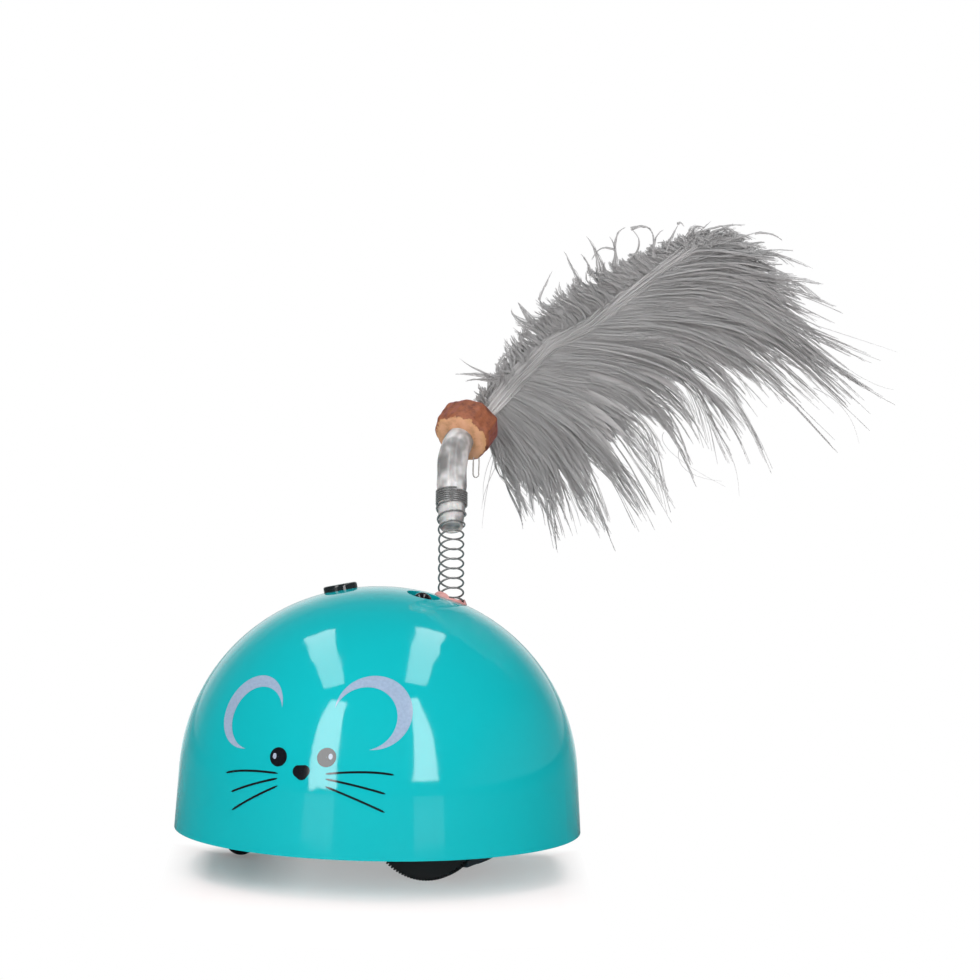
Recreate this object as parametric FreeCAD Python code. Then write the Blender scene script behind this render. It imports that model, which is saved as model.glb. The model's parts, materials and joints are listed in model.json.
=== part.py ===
import FreeCAD, Part
import math
import os

from FreeCAD import Placement, Rotation, Vector

# Motion-activated toy mouse: a teal dome on two drive wheels and a caster ball, with a feather
# tail on a spring. Millimetres, +Z up. The origin is the centre of the dome's rim plane, which is
# also the underside of the base plate. The printed face looks along -Y, and the toy drives along X.

UP = Vector(0, 0, 1)
ALONG_X = Vector(1, 0, 0)
ALONG_Y = Vector(0, 1, 0)

# Dome shell: drafted skirt, tangent shoulder arc, tangent cap arc centred on the axis. Its form
# and what stands on it follow the rim.
RIM_R = 50.0
SKIRT_H = 0.306 * RIM_R
SKIRT_DRAFT = math.radians(3.83)
SHOULDER_R = 0.939 * RIM_R
CAP_R = 1.052 * RIM_R
WALL = 2.2

# Screws that hold the base plate under the dome
BASE_T = 3.0
BASE_GAP = 0.4
CASE_SCREW_R = RIM_R - 6.8
CASE_SCREW_COUNT = 4
CASE_SHANK_R = 1.25
CASE_HEAD_R = 2.4
CASE_HEAD_T = 1.4
CASE_SCREW_L = 11.0
CASE_BOSS_R = 3.5
SCREW_FIT = 0.05
HEAD_FIT = 0.2

# Power button, on the dome's X axis
BUTTON_X = -0.221 * RIM_R
BUTTON_R = 4.2
BUTTON_PROUD = 1.3
BUTTON_CHAMFER = 0.5
BUTTON_FIT = 0.12
BUTTON_FLANGE_R = 5.2
BUTTON_FLANGE_T = 0.8
BUTTON_STEM_R = 1.6
BUTTON_TRAVEL = 0.5
FLANGE_GAP = 0.1

# Sensor: a 5 mm domed lens in a recess of the dome
SENSOR_X = 0.222 * RIM_R
RECESS_R = 4.15
RECESS_DEPTH = 3.6
RECESS_WALL = 1.1
LENS_R = 2.5
LENS_FLANGE_R = 2.9
LENS_FLANGE_T = 1.0
LENS_PROUD = 0.5
LENS_FIT = 0.08

# Top board under the cap, with the tact switch and the sensor spacer
TOP_BOARD_L = 32.0
TOP_BOARD_W = 15.0
TOP_BOARD_T = 1.2
TOP_BOARD_DROP = 11.93
SWITCH_SIDE = 6.0
SWITCH_H = 3.5
PLUNGER_R = 1.75
PLUNGER_H = 1.3
PLUNGER_IN = 1.6
PLUNGER_FIT = 0.3
PLUNGER_GAP = 0.1
TOP_SCREW_Y = 5.0
TOP_BOSS_R = 2.1
TOP_SHANK_R = 0.8
TOP_HEAD_R = 1.6
TOP_HEAD_T = 1.1
TOP_SCREW_L = 4.0

# Drive: wheels, axles and gears, given for the front (-Y) side
WHEEL_X = 17.6
WHEEL_Z = 4.8
WHEEL_R = 14.5
WHEEL_T = 3.0
TYRE_DEPTH = 3.0
TREAD_RIBS = 165
TREAD_DEPTH = 0.22
HUB_BOSS_R = 3.2
HUB_BOSS_T = 0.3
HUB_DISH_R = 9.0
HUB_DISH_T = 0.8
AXLE_R = 1.0
AXLE_FIT = 0.05
BUSH_R = 2.2
BUSH_OUT = 0.2
HUB_GAP = 0.2

GEAR_MODULE = 0.5
PRESSURE_ANGLE = math.radians(20.0)
ADDENDUM = 0.8
DEDENDUM = 1.15
BACKLASH = 0.14
OUTPUT_TEETH = 34
PINION_TEETH = 10
COMPOUND_TEETH = 32
ROTOR_TEETH = 9
COMPOUND_DIR = math.radians(118.0)
ROTOR_DIR = math.radians(115.0)
# Each gear's ends, as depths from the case's outer face
OUTPUT_DEPTH = (1.6, 4.4)
PINION_DEPTH = (1.5, 5.4)
COMPOUND_DEPTH = (5.4, 7.2)
ROTOR_GEAR_DEPTH = (4.8, 7.6)
GEAR_PIN_R = 0.75

# Gearbox case: two halves either side of a centre plate
CASE_HALF_W = 10.0
CASE_WALL = 1.1
GEAR_ROOM = 0.4
CENTRE_T = 1.2
CASE_BOTTOM = -6.2
FOOT_T = 2.0
FOOT_REACH = 6.5
FOOT_HALF_W = 8.8
FOOT_SCREW_Y = 5.5
CASE_BOLT_IN = 2.4
CASE_BOLT_UP = 2.3
SMALL_SHANK_R = 0.8
SMALL_HEAD_R = 1.4
SMALL_HEAD_T = 1.0
FOOT_SCREW_L = 2.2
AXLE_BOSS_R = 2.0
AXLE_BOSS_L = 1.4
PIN_SEAT = 0.8

# Motors
CAN_R = 6.0
CAN_L = 15.0
CAN_WALL = 0.5
CAN_CAP_T = 1.6
NOSE_R = 2.2
NOSE_L = 0.5
SHAFT_R = 0.5
ROTOR_R = 4.2
ROTOR_L = 9.0
TAB_L = 2.2
TAB_W = 1.2
TAB_T = 0.4
TAB_SIDE = 2.4
COLLAR_WALL = 0.9
COLLAR_L = 4.0
COLLAR_FIT = 0.1

# Openings of the base plate round the gearbox and the wheels
WHEEL_GAP = 0.8
CASE_GAP = 0.3

# Battery compartment, two AAA cells along Y
CELL_R = 5.25
CELL_L = 43.5
CELL_NIP_R = 1.9
CELL_NIP_L = 1.0
CELL_PITCH = 11.5
CELL_MID_X = -16.5
BOX_WALL = 1.2
BOX_SIDE_GAP = 1.3
CONTACT_ROOM = 1.6
CONTACT_T = 0.4
CONTACT_W = 7.0
CELL_GAP = 0.3
DOOR_T = 2.0
DOOR_GAP = 0.3
DOOR_SWING = 75.0
HINGE_PIN_R = 0.75
HINGE_PIN_L = 1.2
HINGE_FIT = 0.08
TONGUE_W = 8.0
TONGUE_L = 5.4
TONGUE_T = 1.8
DOOR_SHANK_R = 0.9
DOOR_HEAD_R = 1.8
DOOR_HEAD_T = 0.9
DOOR_SCREW_L = 3.0
DOOR_SCREW_IN = 2.8
DOOR_SCREW_FIT = 0.35
DOOR_BOSS_R = 2.6
DOOR_BOSS_H = 4.0

# Caster: a ball in a cup under the left side
CASTER_X = 13.0 - RIM_R
BALL_R = 4.0
BALL_FIT = 0.1
CUP_R = 5.6
CUP_LIP = 1.6
CUP_STEM_R = 2.0
CUP_HEAD_R = 2.7
CUP_HEAD_T = 1.2
CUP_RECESS = 1.0
CUP_FIT = 0.1
GROUND_Z = WHEEL_Z - WHEEL_R

# Main board on posts on the battery compartment's roof
POST_R = 2.1
POST_H = 3.0
BOARD_T = 1.6
BOARD_SIDE = 2.6
POST_IN_Y = 3.0
CHIP = (10.0, 6.0, 1.6)
CAPACITOR_R = 2.5
CAPACITOR_H = 7.0
TILT_TUBE_R = 2.2
TILT_TUBE_L = 8.0
PLUG_SOCKET = (4.0, 5.0, 4.2)

# Tail, in planes turned about Z from the XZ plane. The spring leans back from the plug on the
# dome, and the sleeve straightens up, then turns over into the bead.
TAIL_TURN = 23.0
TAIL_SIDE = 0.34 * RIM_R
TAIL_BACK = 0.06 * RIM_R
TAIL_LEAN = math.radians(42.0)
SLEEVE_LEAN = math.radians(17.0)
STRAIGHT_L = 18.0
CURVE_R = 41.0
TAIL_RISE_L = 1.7
ELBOW_R = 12.5
BEAD_DIR = Vector(0.40, 0.749, 0.528).normalize()

PLUG_R = 4.2
PLUG_H = 2.2
PLUG_NECK_R = 3.9
PLUG_FLANGE_R = 4.5
PLUG_FLANGE_T = 1.0
PLUG_BORE_FIT = 0.12

WIRE_R = 0.24
CURL_R = 3.05
CURL_PITCH = 2.98
CURL_PHASE = math.radians(-73.0)
PACK_R = 3.80
PACK_PITCH = 0.62
PACK_CURLS = 6
SPRING_START = -1.6
PACK_START = 28.2
FLARE_START = 20.0

SLEEVE_START = 21.9
SLEEVE_TIP_R = 2.65
SLEEVE_MID_R = 3.45
SLEEVE_WALL = 0.7
SLEEVE_IN_BEAD = 1.6

BEAD_R = 7.5
BEAD_T = 8.3
BEAD_SIDES = 9
BEAD_BEVEL = 0.7
BEAD_HOLE_FIT = 0.05

QUILL_R = 0.7
PLUME_BACK = 35.5

THREAD_R = 0.14
THREAD_LOOP_R = 0.62
THREAD_DROP = 2.4

WIRE_COVER_R = 0.5
WIRE_PITCH = 1.5


def box(x0, x1, y0, y1, z0, z1):
    return Part.makeBox(x1 - x0, y1 - y0, z1 - z0, Vector(x0, y0, z0))


def rod(radius, start, end):
    """A cylinder from one point to another."""
    return Part.makeCylinder(radius, (end - start).Length, start, end - start)


def y_rod(radius, y0, y1, x, z):
    return rod(radius, Vector(x, y0, z), Vector(x, y1, z))


def fuse(shapes):
    whole = shapes[0]
    for shape in shapes[1:]:
        whole = whole.fuse(shape)
    return whole.removeSplitter()


def export(name, *shapes):
    """Write one node, as one solid or as a group of separate solids."""
    solids = [solid for shape in shapes for solid in shape.Solids]
    for solid in solids:
        if not solid.isValid():
            print("not valid:", name)
    shape = solids[0] if len(solids) == 1 else Part.Compound(solids)
    shape.exportStep("parts/" + name + ".step")


def revolve(edges, axis_at=Vector(0, 0, 0), axis=UP):
    return Part.Face(Part.Wire(edges)).revolve(axis_at, axis, 360)


def line(a, b):
    return Part.LineSegment(a, b).toShape()


def polygon(points):
    return Part.Face(Part.makePolygon(points + points[:1]))


# Dome geometry

SKIRT_TOP_R = RIM_R - SKIRT_H * math.tan(SKIRT_DRAFT)
SHOULDER_AT = Vector(
    SKIRT_TOP_R - SHOULDER_R * math.cos(SKIRT_DRAFT), 0, SKIRT_H - SHOULDER_R * math.sin(SKIRT_DRAFT)
)
CAP_Z = SHOULDER_AT.z - math.sqrt((CAP_R - SHOULDER_R) ** 2 - SHOULDER_AT.x**2)
CAP_EDGE_ANGLE = math.atan2(SHOULDER_AT.z - CAP_Z, SHOULDER_AT.x)
CAP_EDGE_R = CAP_R * math.cos(CAP_EDGE_ANGLE)
DOME_TOP = CAP_Z + CAP_R
TOP_BOARD_Z = DOME_TOP - TOP_BOARD_DROP


def arc_point(centre, radius, angle):
    return centre + Vector(math.cos(angle), 0, math.sin(angle)) * radius


def dome_solid(inset, bottom):
    """The dome's outer surface moved inwards by inset, closed at the height bottom."""
    shoulder = SHOULDER_R - inset
    cap = CAP_R - inset
    cap_at = Vector(0, 0, CAP_Z)
    skirt_top = arc_point(SHOULDER_AT, shoulder, SKIRT_DRAFT)
    rim = Vector(skirt_top.x + (skirt_top.z - bottom) * math.tan(SKIRT_DRAFT), 0, bottom)
    shoulder_mid = arc_point(SHOULDER_AT, shoulder, (SKIRT_DRAFT + CAP_EDGE_ANGLE) / 2)
    shoulder_end = arc_point(SHOULDER_AT, shoulder, CAP_EDGE_ANGLE)
    cap_mid = arc_point(cap_at, cap, (CAP_EDGE_ANGLE + math.pi / 2) / 2)
    top = Vector(0, 0, DOME_TOP - inset)
    foot = Vector(0, 0, bottom)
    return revolve(
        [
            line(foot, rim),
            line(rim, skirt_top),
            Part.Arc(skirt_top, shoulder_mid, shoulder_end).toShape(),
            Part.Arc(shoulder_end, cap_mid, top).toShape(),
            line(top, foot),
        ]
    )


def dome_seat(x, y):
    """The point of the dome's outer surface above x, y, and the surface's normal there."""
    r = math.hypot(x, y)
    if r < CAP_EDGE_R:
        centre = Vector(0, 0, CAP_Z)
        radius = CAP_R
        reach = r
    else:
        centre = Vector(x, y, 0) * (SHOULDER_AT.x / r) + Vector(0, 0, SHOULDER_AT.z)
        radius = SHOULDER_R
        reach = r - SHOULDER_AT.x
    point = Vector(x, y, centre.z + math.sqrt(radius**2 - reach**2))
    return point, (point - centre).normalize()


INSIDE = dome_solid(WALL, -1.0)
BASE_R = SKIRT_TOP_R + (SKIRT_H - BASE_T) * math.tan(SKIRT_DRAFT) - WALL / math.cos(SKIRT_DRAFT) - BASE_GAP
BUTTON_SEAT, BUTTON_AXIS = dome_seat(BUTTON_X, 0)
SENSOR_SEAT, SENSOR_AXIS = dome_seat(SENSOR_X, 0)


def case_screw_places():
    for i in range(CASE_SCREW_COUNT):
        angle = 2 * math.pi * (i + 0.5) / CASE_SCREW_COUNT
        yield Vector(CASE_SCREW_R * math.cos(angle), CASE_SCREW_R * math.sin(angle), 0)


def top_screw_places():
    for side in (-1, 1):
        yield Vector(0, side * TOP_SCREW_Y, TOP_BOARD_Z)


def along(seat, axis, depth):
    """A point on an axis of the dome, at a depth below its seat on the outer surface."""
    return seat - axis * depth


def turned(side, back, up):
    """A point of the tail, from its distances in the turned planes."""
    return Rotation(UP, TAIL_TURN).multVec(Vector(side, back, up))


TAIL_SEAT, TAIL_NORMAL = dome_seat(turned(TAIL_SIDE, TAIL_BACK, 0).x, turned(TAIL_SIDE, TAIL_BACK, 0).y)


def make_dome():
    shell = dome_solid(0, 0).cut(INSIDE)
    inner = dome_solid(WALL / 2, 0)
    adds = []
    holes = []
    for place in case_screw_places():
        foot = place + Vector(0, 0, BASE_T)
        adds.append(rod(CASE_BOSS_R, foot, place + Vector(0, 0, RIM_R)).common(inner))
        holes.append(rod(CASE_SHANK_R + SCREW_FIT, foot, foot + UP * CASE_SCREW_L))
    for place in top_screw_places():
        foot = place + Vector(0, 0, TOP_BOARD_T)
        adds.append(rod(TOP_BOSS_R, foot, place + Vector(0, 0, RIM_R)).common(inner))
        holes.append(rod(TOP_SHANK_R + SCREW_FIT, foot, foot + UP * TOP_SCREW_L))
    well_bottom = along(SENSOR_SEAT, SENSOR_AXIS, RECESS_DEPTH + RECESS_WALL)
    adds.append(rod(RECESS_R + RECESS_WALL, well_bottom, SENSOR_SEAT).common(inner))
    holes.append(
        rod(RECESS_R, along(SENSOR_SEAT, SENSOR_AXIS, RECESS_DEPTH), along(SENSOR_SEAT, SENSOR_AXIS, -WALL))
    )
    holes.append(rod(LENS_R + LENS_FIT, along(well_bottom, SENSOR_AXIS, WALL), SENSOR_SEAT))
    holes.append(
        rod(
            BUTTON_R + BUTTON_FIT,
            along(BUTTON_SEAT, BUTTON_AXIS, 2 * WALL),
            along(BUTTON_SEAT, BUTTON_AXIS, -WALL),
        )
    )
    holes.append(rod(PLUG_NECK_R, along(TAIL_SEAT, TAIL_NORMAL, 2 * WALL), along(TAIL_SEAT, TAIL_NORMAL, -WALL)))
    shell = fuse([shell] + adds)
    for hole in holes:
        shell = shell.cut(hole)
    export("dome_shell", shell)
    return shell


def screw(head_r, head_t, shank_r, shank_l, seat, direction):
    """A screw whose head sits on seat, with its shank along direction."""
    head = rod(head_r, seat - direction * head_t, seat)
    slot = Part.makeBox(2 * head_r, head_t / 3, head_t / 3, Vector(-head_r, -head_t / 6, -head_t / 6))
    slot.Placement = Placement(seat - direction * head_t, Rotation(UP, direction))
    shank = rod(shank_r, seat, seat + direction * shank_l)
    return head.fuse(shank).cut(slot)


# Button and tact switch

SWITCH_TOP_Z = TOP_BOARD_Z + TOP_BOARD_T + SWITCH_H
STEM_END_Z = SWITCH_TOP_Z + PLUNGER_H + PLUNGER_GAP
STEM_DEPTH = (BUTTON_SEAT.z - STEM_END_Z) / BUTTON_AXIS.z
SWITCH_AT = along(BUTTON_SEAT, BUTTON_AXIS, STEM_DEPTH)


def make_button():
    flange_sag = BUTTON_FLANGE_R**2 / (2 * (CAP_R - WALL))
    flange_top = WALL + flange_sag + FLANGE_GAP
    flange_end = flange_top + BUTTON_FLANGE_T
    cap = rod(BUTTON_R, along(BUTTON_SEAT, BUTTON_AXIS, flange_top), along(BUTTON_SEAT, BUTTON_AXIS, -BUTTON_PROUD))
    top_edges = [e for e in cap.Edges if (e.CenterOfMass - BUTTON_SEAT).dot(BUTTON_AXIS) > BUTTON_PROUD / 2 and e.Closed]
    cap = cap.makeFillet(BUTTON_CHAMFER, [e for e in top_edges if isinstance(e.Curve, Part.Circle)])
    flange = rod(
        BUTTON_FLANGE_R, along(BUTTON_SEAT, BUTTON_AXIS, flange_end), along(BUTTON_SEAT, BUTTON_AXIS, flange_top)
    )
    stem = rod(BUTTON_STEM_R, along(BUTTON_SEAT, BUTTON_AXIS, STEM_DEPTH + 1), along(BUTTON_SEAT, BUTTON_AXIS, flange_end))
    below = box(-RIM_R, RIM_R, -RIM_R, RIM_R, 0, STEM_END_Z)
    export("power_button", fuse([cap, flange, stem.cut(below)]))


def make_switch():
    x = SWITCH_AT.x
    half = SWITCH_SIDE / 2
    body = box(x - half, x + half, -half, half, TOP_BOARD_Z + TOP_BOARD_T, SWITCH_TOP_Z)
    room = rod(
        PLUNGER_R + PLUNGER_FIT,
        Vector(x, 0, SWITCH_TOP_Z - PLUNGER_IN - 2 * BUTTON_TRAVEL),
        Vector(x, 0, SWITCH_TOP_Z + 1),
    )
    plunger = rod(PLUNGER_R, Vector(x, 0, SWITCH_TOP_Z - PLUNGER_IN), Vector(x, 0, SWITCH_TOP_Z + PLUNGER_H))
    export("switch_body", body.cut(room))
    export("switch_plunger", plunger)


def make_sensor():
    shoulder = along(SENSOR_SEAT, SENSOR_AXIS, RECESS_DEPTH + RECESS_WALL)
    base = along(shoulder, SENSOR_AXIS, LENS_FLANGE_T)
    tip = along(SENSOR_SEAT, SENSOR_AXIS, -LENS_PROUD)
    ball_at = along(tip, SENSOR_AXIS, LENS_R)
    lens = fuse([rod(LENS_FLANGE_R, base, shoulder), rod(LENS_R, base, ball_at), Part.makeSphere(LENS_R, ball_at)])
    export("sensor_lens", lens)
    board_top = TOP_BOARD_Z + TOP_BOARD_T
    spacer = rod(LENS_FLANGE_R, Vector(base.x, 0, board_top), Vector(base.x, 0, base.z + LENS_FLANGE_R))
    above = rod(2 * RECESS_R, base, SENSOR_SEAT)
    export("sensor_spacer", spacer.cut(above))


def make_top_board():
    board = box(
        -TOP_BOARD_L / 2, TOP_BOARD_L / 2, -TOP_BOARD_W / 2, TOP_BOARD_W / 2, TOP_BOARD_Z, TOP_BOARD_Z + TOP_BOARD_T
    )
    screws = []
    for place in top_screw_places():
        board = board.cut(rod(TOP_SHANK_R + SCREW_FIT, place, place + UP * TOP_BOARD_T))
        screws.append(screw(TOP_HEAD_R, TOP_HEAD_T, TOP_SHANK_R, TOP_BOARD_T + TOP_SCREW_L - 0.5, place, UP))
    export("top_board", board)
    export("top_board_screws", *screws)


# Battery compartment

BOX_X = (CELL_MID_X - CELL_PITCH / 2 - CELL_R - BOX_SIDE_GAP, CELL_MID_X + CELL_PITCH / 2 + CELL_R + BOX_SIDE_GAP)
CELL_END = CELL_L / 2
BOX_Y = CELL_END + CELL_NIP_L + CONTACT_ROOM
HINGE_R = BASE_T / 2
HINGE_Y = BOX_Y - DOOR_GAP - HINGE_R
CELL_Z = BASE_T + CELL_GAP + CELL_R
ROOF_Z = CELL_Z + CELL_R + CELL_GAP
ROOF_TOP = ROOF_Z + BOX_WALL
DOOR_X = (BOX_X[0] + DOOR_GAP, BOX_X[1] - DOOR_GAP)
DOOR_FRONT = -BOX_Y + DOOR_GAP
DOOR_SCREW_AT = Vector(CELL_MID_X, DOOR_FRONT - TONGUE_L + DOOR_SCREW_IN, 0)
BOARD_X = (BOX_X[0] - BOX_WALL, BOX_X[1] + BOX_WALL)
BOARD_Z = ROOF_TOP + POST_H
BOARD_TOP = BOARD_Z + BOARD_T


def post_places():
    for x in (BOARD_X[0] + BOARD_SIDE, BOARD_X[1] - BOARD_SIDE):
        for y in (-BOX_Y + POST_IN_Y, BOX_Y - POST_IN_Y):
            yield Vector(x, y, ROOF_TOP)


# Gearbox geometry, front side

WHEEL_AT = Vector(WHEEL_X, 0, WHEEL_Z)


def centre_distance(teeth_a, teeth_b):
    return GEAR_MODULE * (teeth_a + teeth_b) / 2


def tip_radius(teeth):
    return GEAR_MODULE * (teeth / 2 + ADDENDUM)


def in_xz(angle):
    return Vector(math.cos(angle), 0, math.sin(angle))


COMPOUND_AT = WHEEL_AT + in_xz(COMPOUND_DIR) * centre_distance(OUTPUT_TEETH, PINION_TEETH)
ROTOR_AT = COMPOUND_AT + in_xz(ROTOR_DIR) * centre_distance(COMPOUND_TEETH, ROTOR_TEETH)
CHAMBER = (
    (WHEEL_AT, tip_radius(OUTPUT_TEETH) + GEAR_ROOM),
    (COMPOUND_AT, tip_radius(COMPOUND_TEETH) + GEAR_ROOM),
    (ROTOR_AT, tip_radius(ROTOR_TEETH) + GEAR_ROOM),
)
BLOCK_HALF = CHAMBER[0][1] + CASE_WALL
INNER_Y = CASE_HALF_W - CASE_WALL
WHEEL_FACE_Y = CASE_HALF_W + BUSH_OUT + HUB_GAP + HUB_BOSS_T + WHEEL_T
OUTPUT_Y, PINION_Y, COMPOUND_Y, ROTOR_GEAR_Y = (
    (depths[0] - CASE_HALF_W, depths[1] - CASE_HALF_W)
    for depths in (OUTPUT_DEPTH, PINION_DEPTH, COMPOUND_DEPTH, ROTOR_GEAR_DEPTH)
)


def rear(shape):
    """The same thing on the other side: turned half round about the vertical through the axles."""
    copy = shape.copy()
    copy.rotate(Vector(WHEEL_X, 0, 0), UP, 180)
    return copy


def hull(centre_a, radius_a, centre_b, radius_b, y0, y1):
    """Two discs in the XZ plane and the two straight sides that touch both, from y0 to y1."""
    way = centre_b - centre_a
    gap = way.Length
    base = math.atan2(way.z, way.x)
    swing = math.acos((radius_a - radius_b) / gap)
    corners = [
        centre_a + in_xz(base + swing) * radius_a,
        centre_b + in_xz(base + swing) * radius_b,
        centre_b + in_xz(base - swing) * radius_b,
        centre_a + in_xz(base - swing) * radius_a,
    ]
    slab = polygon([Vector(c.x, y0, c.z) for c in corners]).extrude(Vector(0, y1 - y0, 0))
    discs = [y_rod(radius_a, y0, y1, centre_a.x, centre_a.z), y_rod(radius_b, y0, y1, centre_b.x, centre_b.z)]
    return fuse([slab] + discs)


def chamber(grow, y0, y1):
    (a, ra), (b, rb), (c, rc) = CHAMBER
    return fuse([hull(a, ra + grow, b, rb + grow, y0, y1), hull(b, rb + grow, c, rc + grow, y0, y1)])


def block(y0, y1):
    return box(WHEEL_X - BLOCK_HALF, WHEEL_X + BLOCK_HALF, y0, y1, CASE_BOTTOM, WHEEL_Z)


def bolt_places():
    for side in (-1, 1):
        yield WHEEL_X + side * (BLOCK_HALF - CASE_BOLT_IN), CASE_BOTTOM + CASE_BOLT_UP


def foot_places():
    for side in (-1, 1):
        x = WHEEL_X + side * (BLOCK_HALF + FOOT_REACH - 2 * SMALL_HEAD_R)
        for y in (-FOOT_SCREW_Y, FOOT_SCREW_Y):
            yield Vector(x, y, BASE_T + FOOT_T)


def gearbox_half():
    """The front half of the case, from the centre plate to its outer wall, with its two feet."""
    front = -CASE_HALF_W
    back = -CENTRE_T / 2
    outside = fuse([chamber(CASE_WALL, front, back), block(front, back)])
    reach = BLOCK_HALF + FOOT_REACH
    foot = box(WHEEL_X - reach, WHEEL_X + reach, -FOOT_HALF_W, back, BASE_T, BASE_T + FOOT_T)
    room = chamber(0, -INNER_Y, back + 1)
    half = outside.fuse(foot).cut(room)
    seat = y_rod(GEAR_PIN_R + CASE_WALL, -INNER_Y - 0.2, PINION_Y[0] - 0.2, COMPOUND_AT.x, COMPOUND_AT.z)
    half = half.fuse(seat)
    half = half.cut(y_rod(BUSH_R, front - 1, 0, WHEEL_X, WHEEL_Z))
    half = half.cut(y_rod(GEAR_PIN_R, front + PIN_SEAT / 2, 0, COMPOUND_AT.x, COMPOUND_AT.z))
    for x, z in bolt_places():
        half = half.cut(y_rod(SMALL_SHANK_R + SCREW_FIT, front + CASE_WALL, 0, x, z))
    for place in foot_places():
        half = half.cut(rod(SMALL_SHANK_R + SCREW_FIT, place - UP * FOOT_T, place))
    return half


def make_gearbox():
    front = gearbox_half()
    export("gearbox_front", front)
    back = rear(front)
    bolt_seat_y = CASE_HALF_W - SMALL_HEAD_T - SCREW_FIT
    for x, z in bolt_places():
        back = back.cut(y_rod(SMALL_SHANK_R + SCREW_FIT, 0, CASE_HALF_W, x, z))
        back = back.cut(y_rod(SMALL_HEAD_R + SCREW_FIT, bolt_seat_y, CASE_HALF_W + 1, x, z))
    export("gearbox_rear", back)
    half = CENTRE_T / 2
    seat_r = CAN_R + COLLAR_FIT + COLLAR_WALL
    side = fuse(
        [
            chamber(CASE_WALL, -half, half),
            y_rod(seat_r, -half, half + COLLAR_L, ROTOR_AT.x, ROTOR_AT.z),
            y_rod(AXLE_BOSS_R, -half - AXLE_BOSS_L, half, WHEEL_X, WHEEL_Z),
        ]
    )
    plate = fuse([block(-half, half), side, rear(side)])
    holes = [
        y_rod(CAN_R + COLLAR_FIT, half, half + COLLAR_L + 1, ROTOR_AT.x, ROTOR_AT.z),
        y_rod(NOSE_R, -half - 1, half + 1, ROTOR_AT.x, ROTOR_AT.z),
        y_rod(GEAR_PIN_R, -half - 1, 0, COMPOUND_AT.x, COMPOUND_AT.z),
    ]
    for hole in holes + [rear(hole) for hole in holes]:
        plate = plate.cut(hole)
    plate = plate.cut(y_rod(AXLE_R + AXLE_FIT, -CASE_HALF_W, CASE_HALF_W, WHEEL_X, WHEEL_Z))
    for x, z in bolt_places():
        plate = plate.cut(y_rod(SMALL_SHANK_R + SCREW_FIT, -half, half, x, z))
    export("gearbox_centre_plate", plate)
    screws = []
    for x, z in bolt_places():
        seat = Vector(x, bolt_seat_y, z)
        long_l = bolt_seat_y + CASE_HALF_W - CASE_WALL - SMALL_HEAD_T
        screws.append(screw(SMALL_HEAD_R, SMALL_HEAD_T, SMALL_SHANK_R, long_l, seat, -ALONG_Y))
    for place in foot_places():
        screws.append(screw(SMALL_HEAD_R, SMALL_HEAD_T, SMALL_SHANK_R, FOOT_T + FOOT_SCREW_L, place, -UP))
    export("gearbox_screws", *screws)


# Gears

INVOLUTE_STEPS = 4


def gear(teeth, y_span, centre, tooth_dir):
    """A spur gear on an axle along Y, with the middle of one tooth pointing along tooth_dir."""
    pitch_r = GEAR_MODULE * teeth / 2
    base_r = pitch_r * math.cos(PRESSURE_ANGLE)
    root_r = pitch_r - DEDENDUM * GEAR_MODULE
    tip_r = tip_radius(teeth)
    start_r = max(base_r, root_r)
    half_at_pitch = (math.pi * GEAR_MODULE - BACKLASH) / 4 / pitch_r
    involute = math.tan(PRESSURE_ANGLE) - PRESSURE_ANGLE

    def half_width(radius):
        turn = math.acos(min(1.0, base_r / radius))
        return half_at_pitch + involute - (math.tan(turn) - turn)

    flank = [start_r + (tip_r - start_r) * i / INVOLUTE_STEPS for i in range(INVOLUTE_STEPS + 1)]
    points = []
    for tooth in range(teeth):
        middle = tooth_dir + 2 * math.pi * tooth / teeth
        rising = [(root_r, -half_width(start_r))] + [(r, -half_width(r)) for r in flank]
        falling = [(r, -a) for r, a in reversed(rising)]
        for radius, angle in rising + falling:
            points.append(centre + in_xz(middle + angle) * radius)
    y0, y1 = y_span
    return polygon([Vector(p.x, y0, p.z) for p in points]).extrude(Vector(0, y1 - y0, 0))


def gap_dir(direction, teeth):
    """Where a tooth points when a gap faces back along direction."""
    return direction + math.pi + math.pi / teeth


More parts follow.
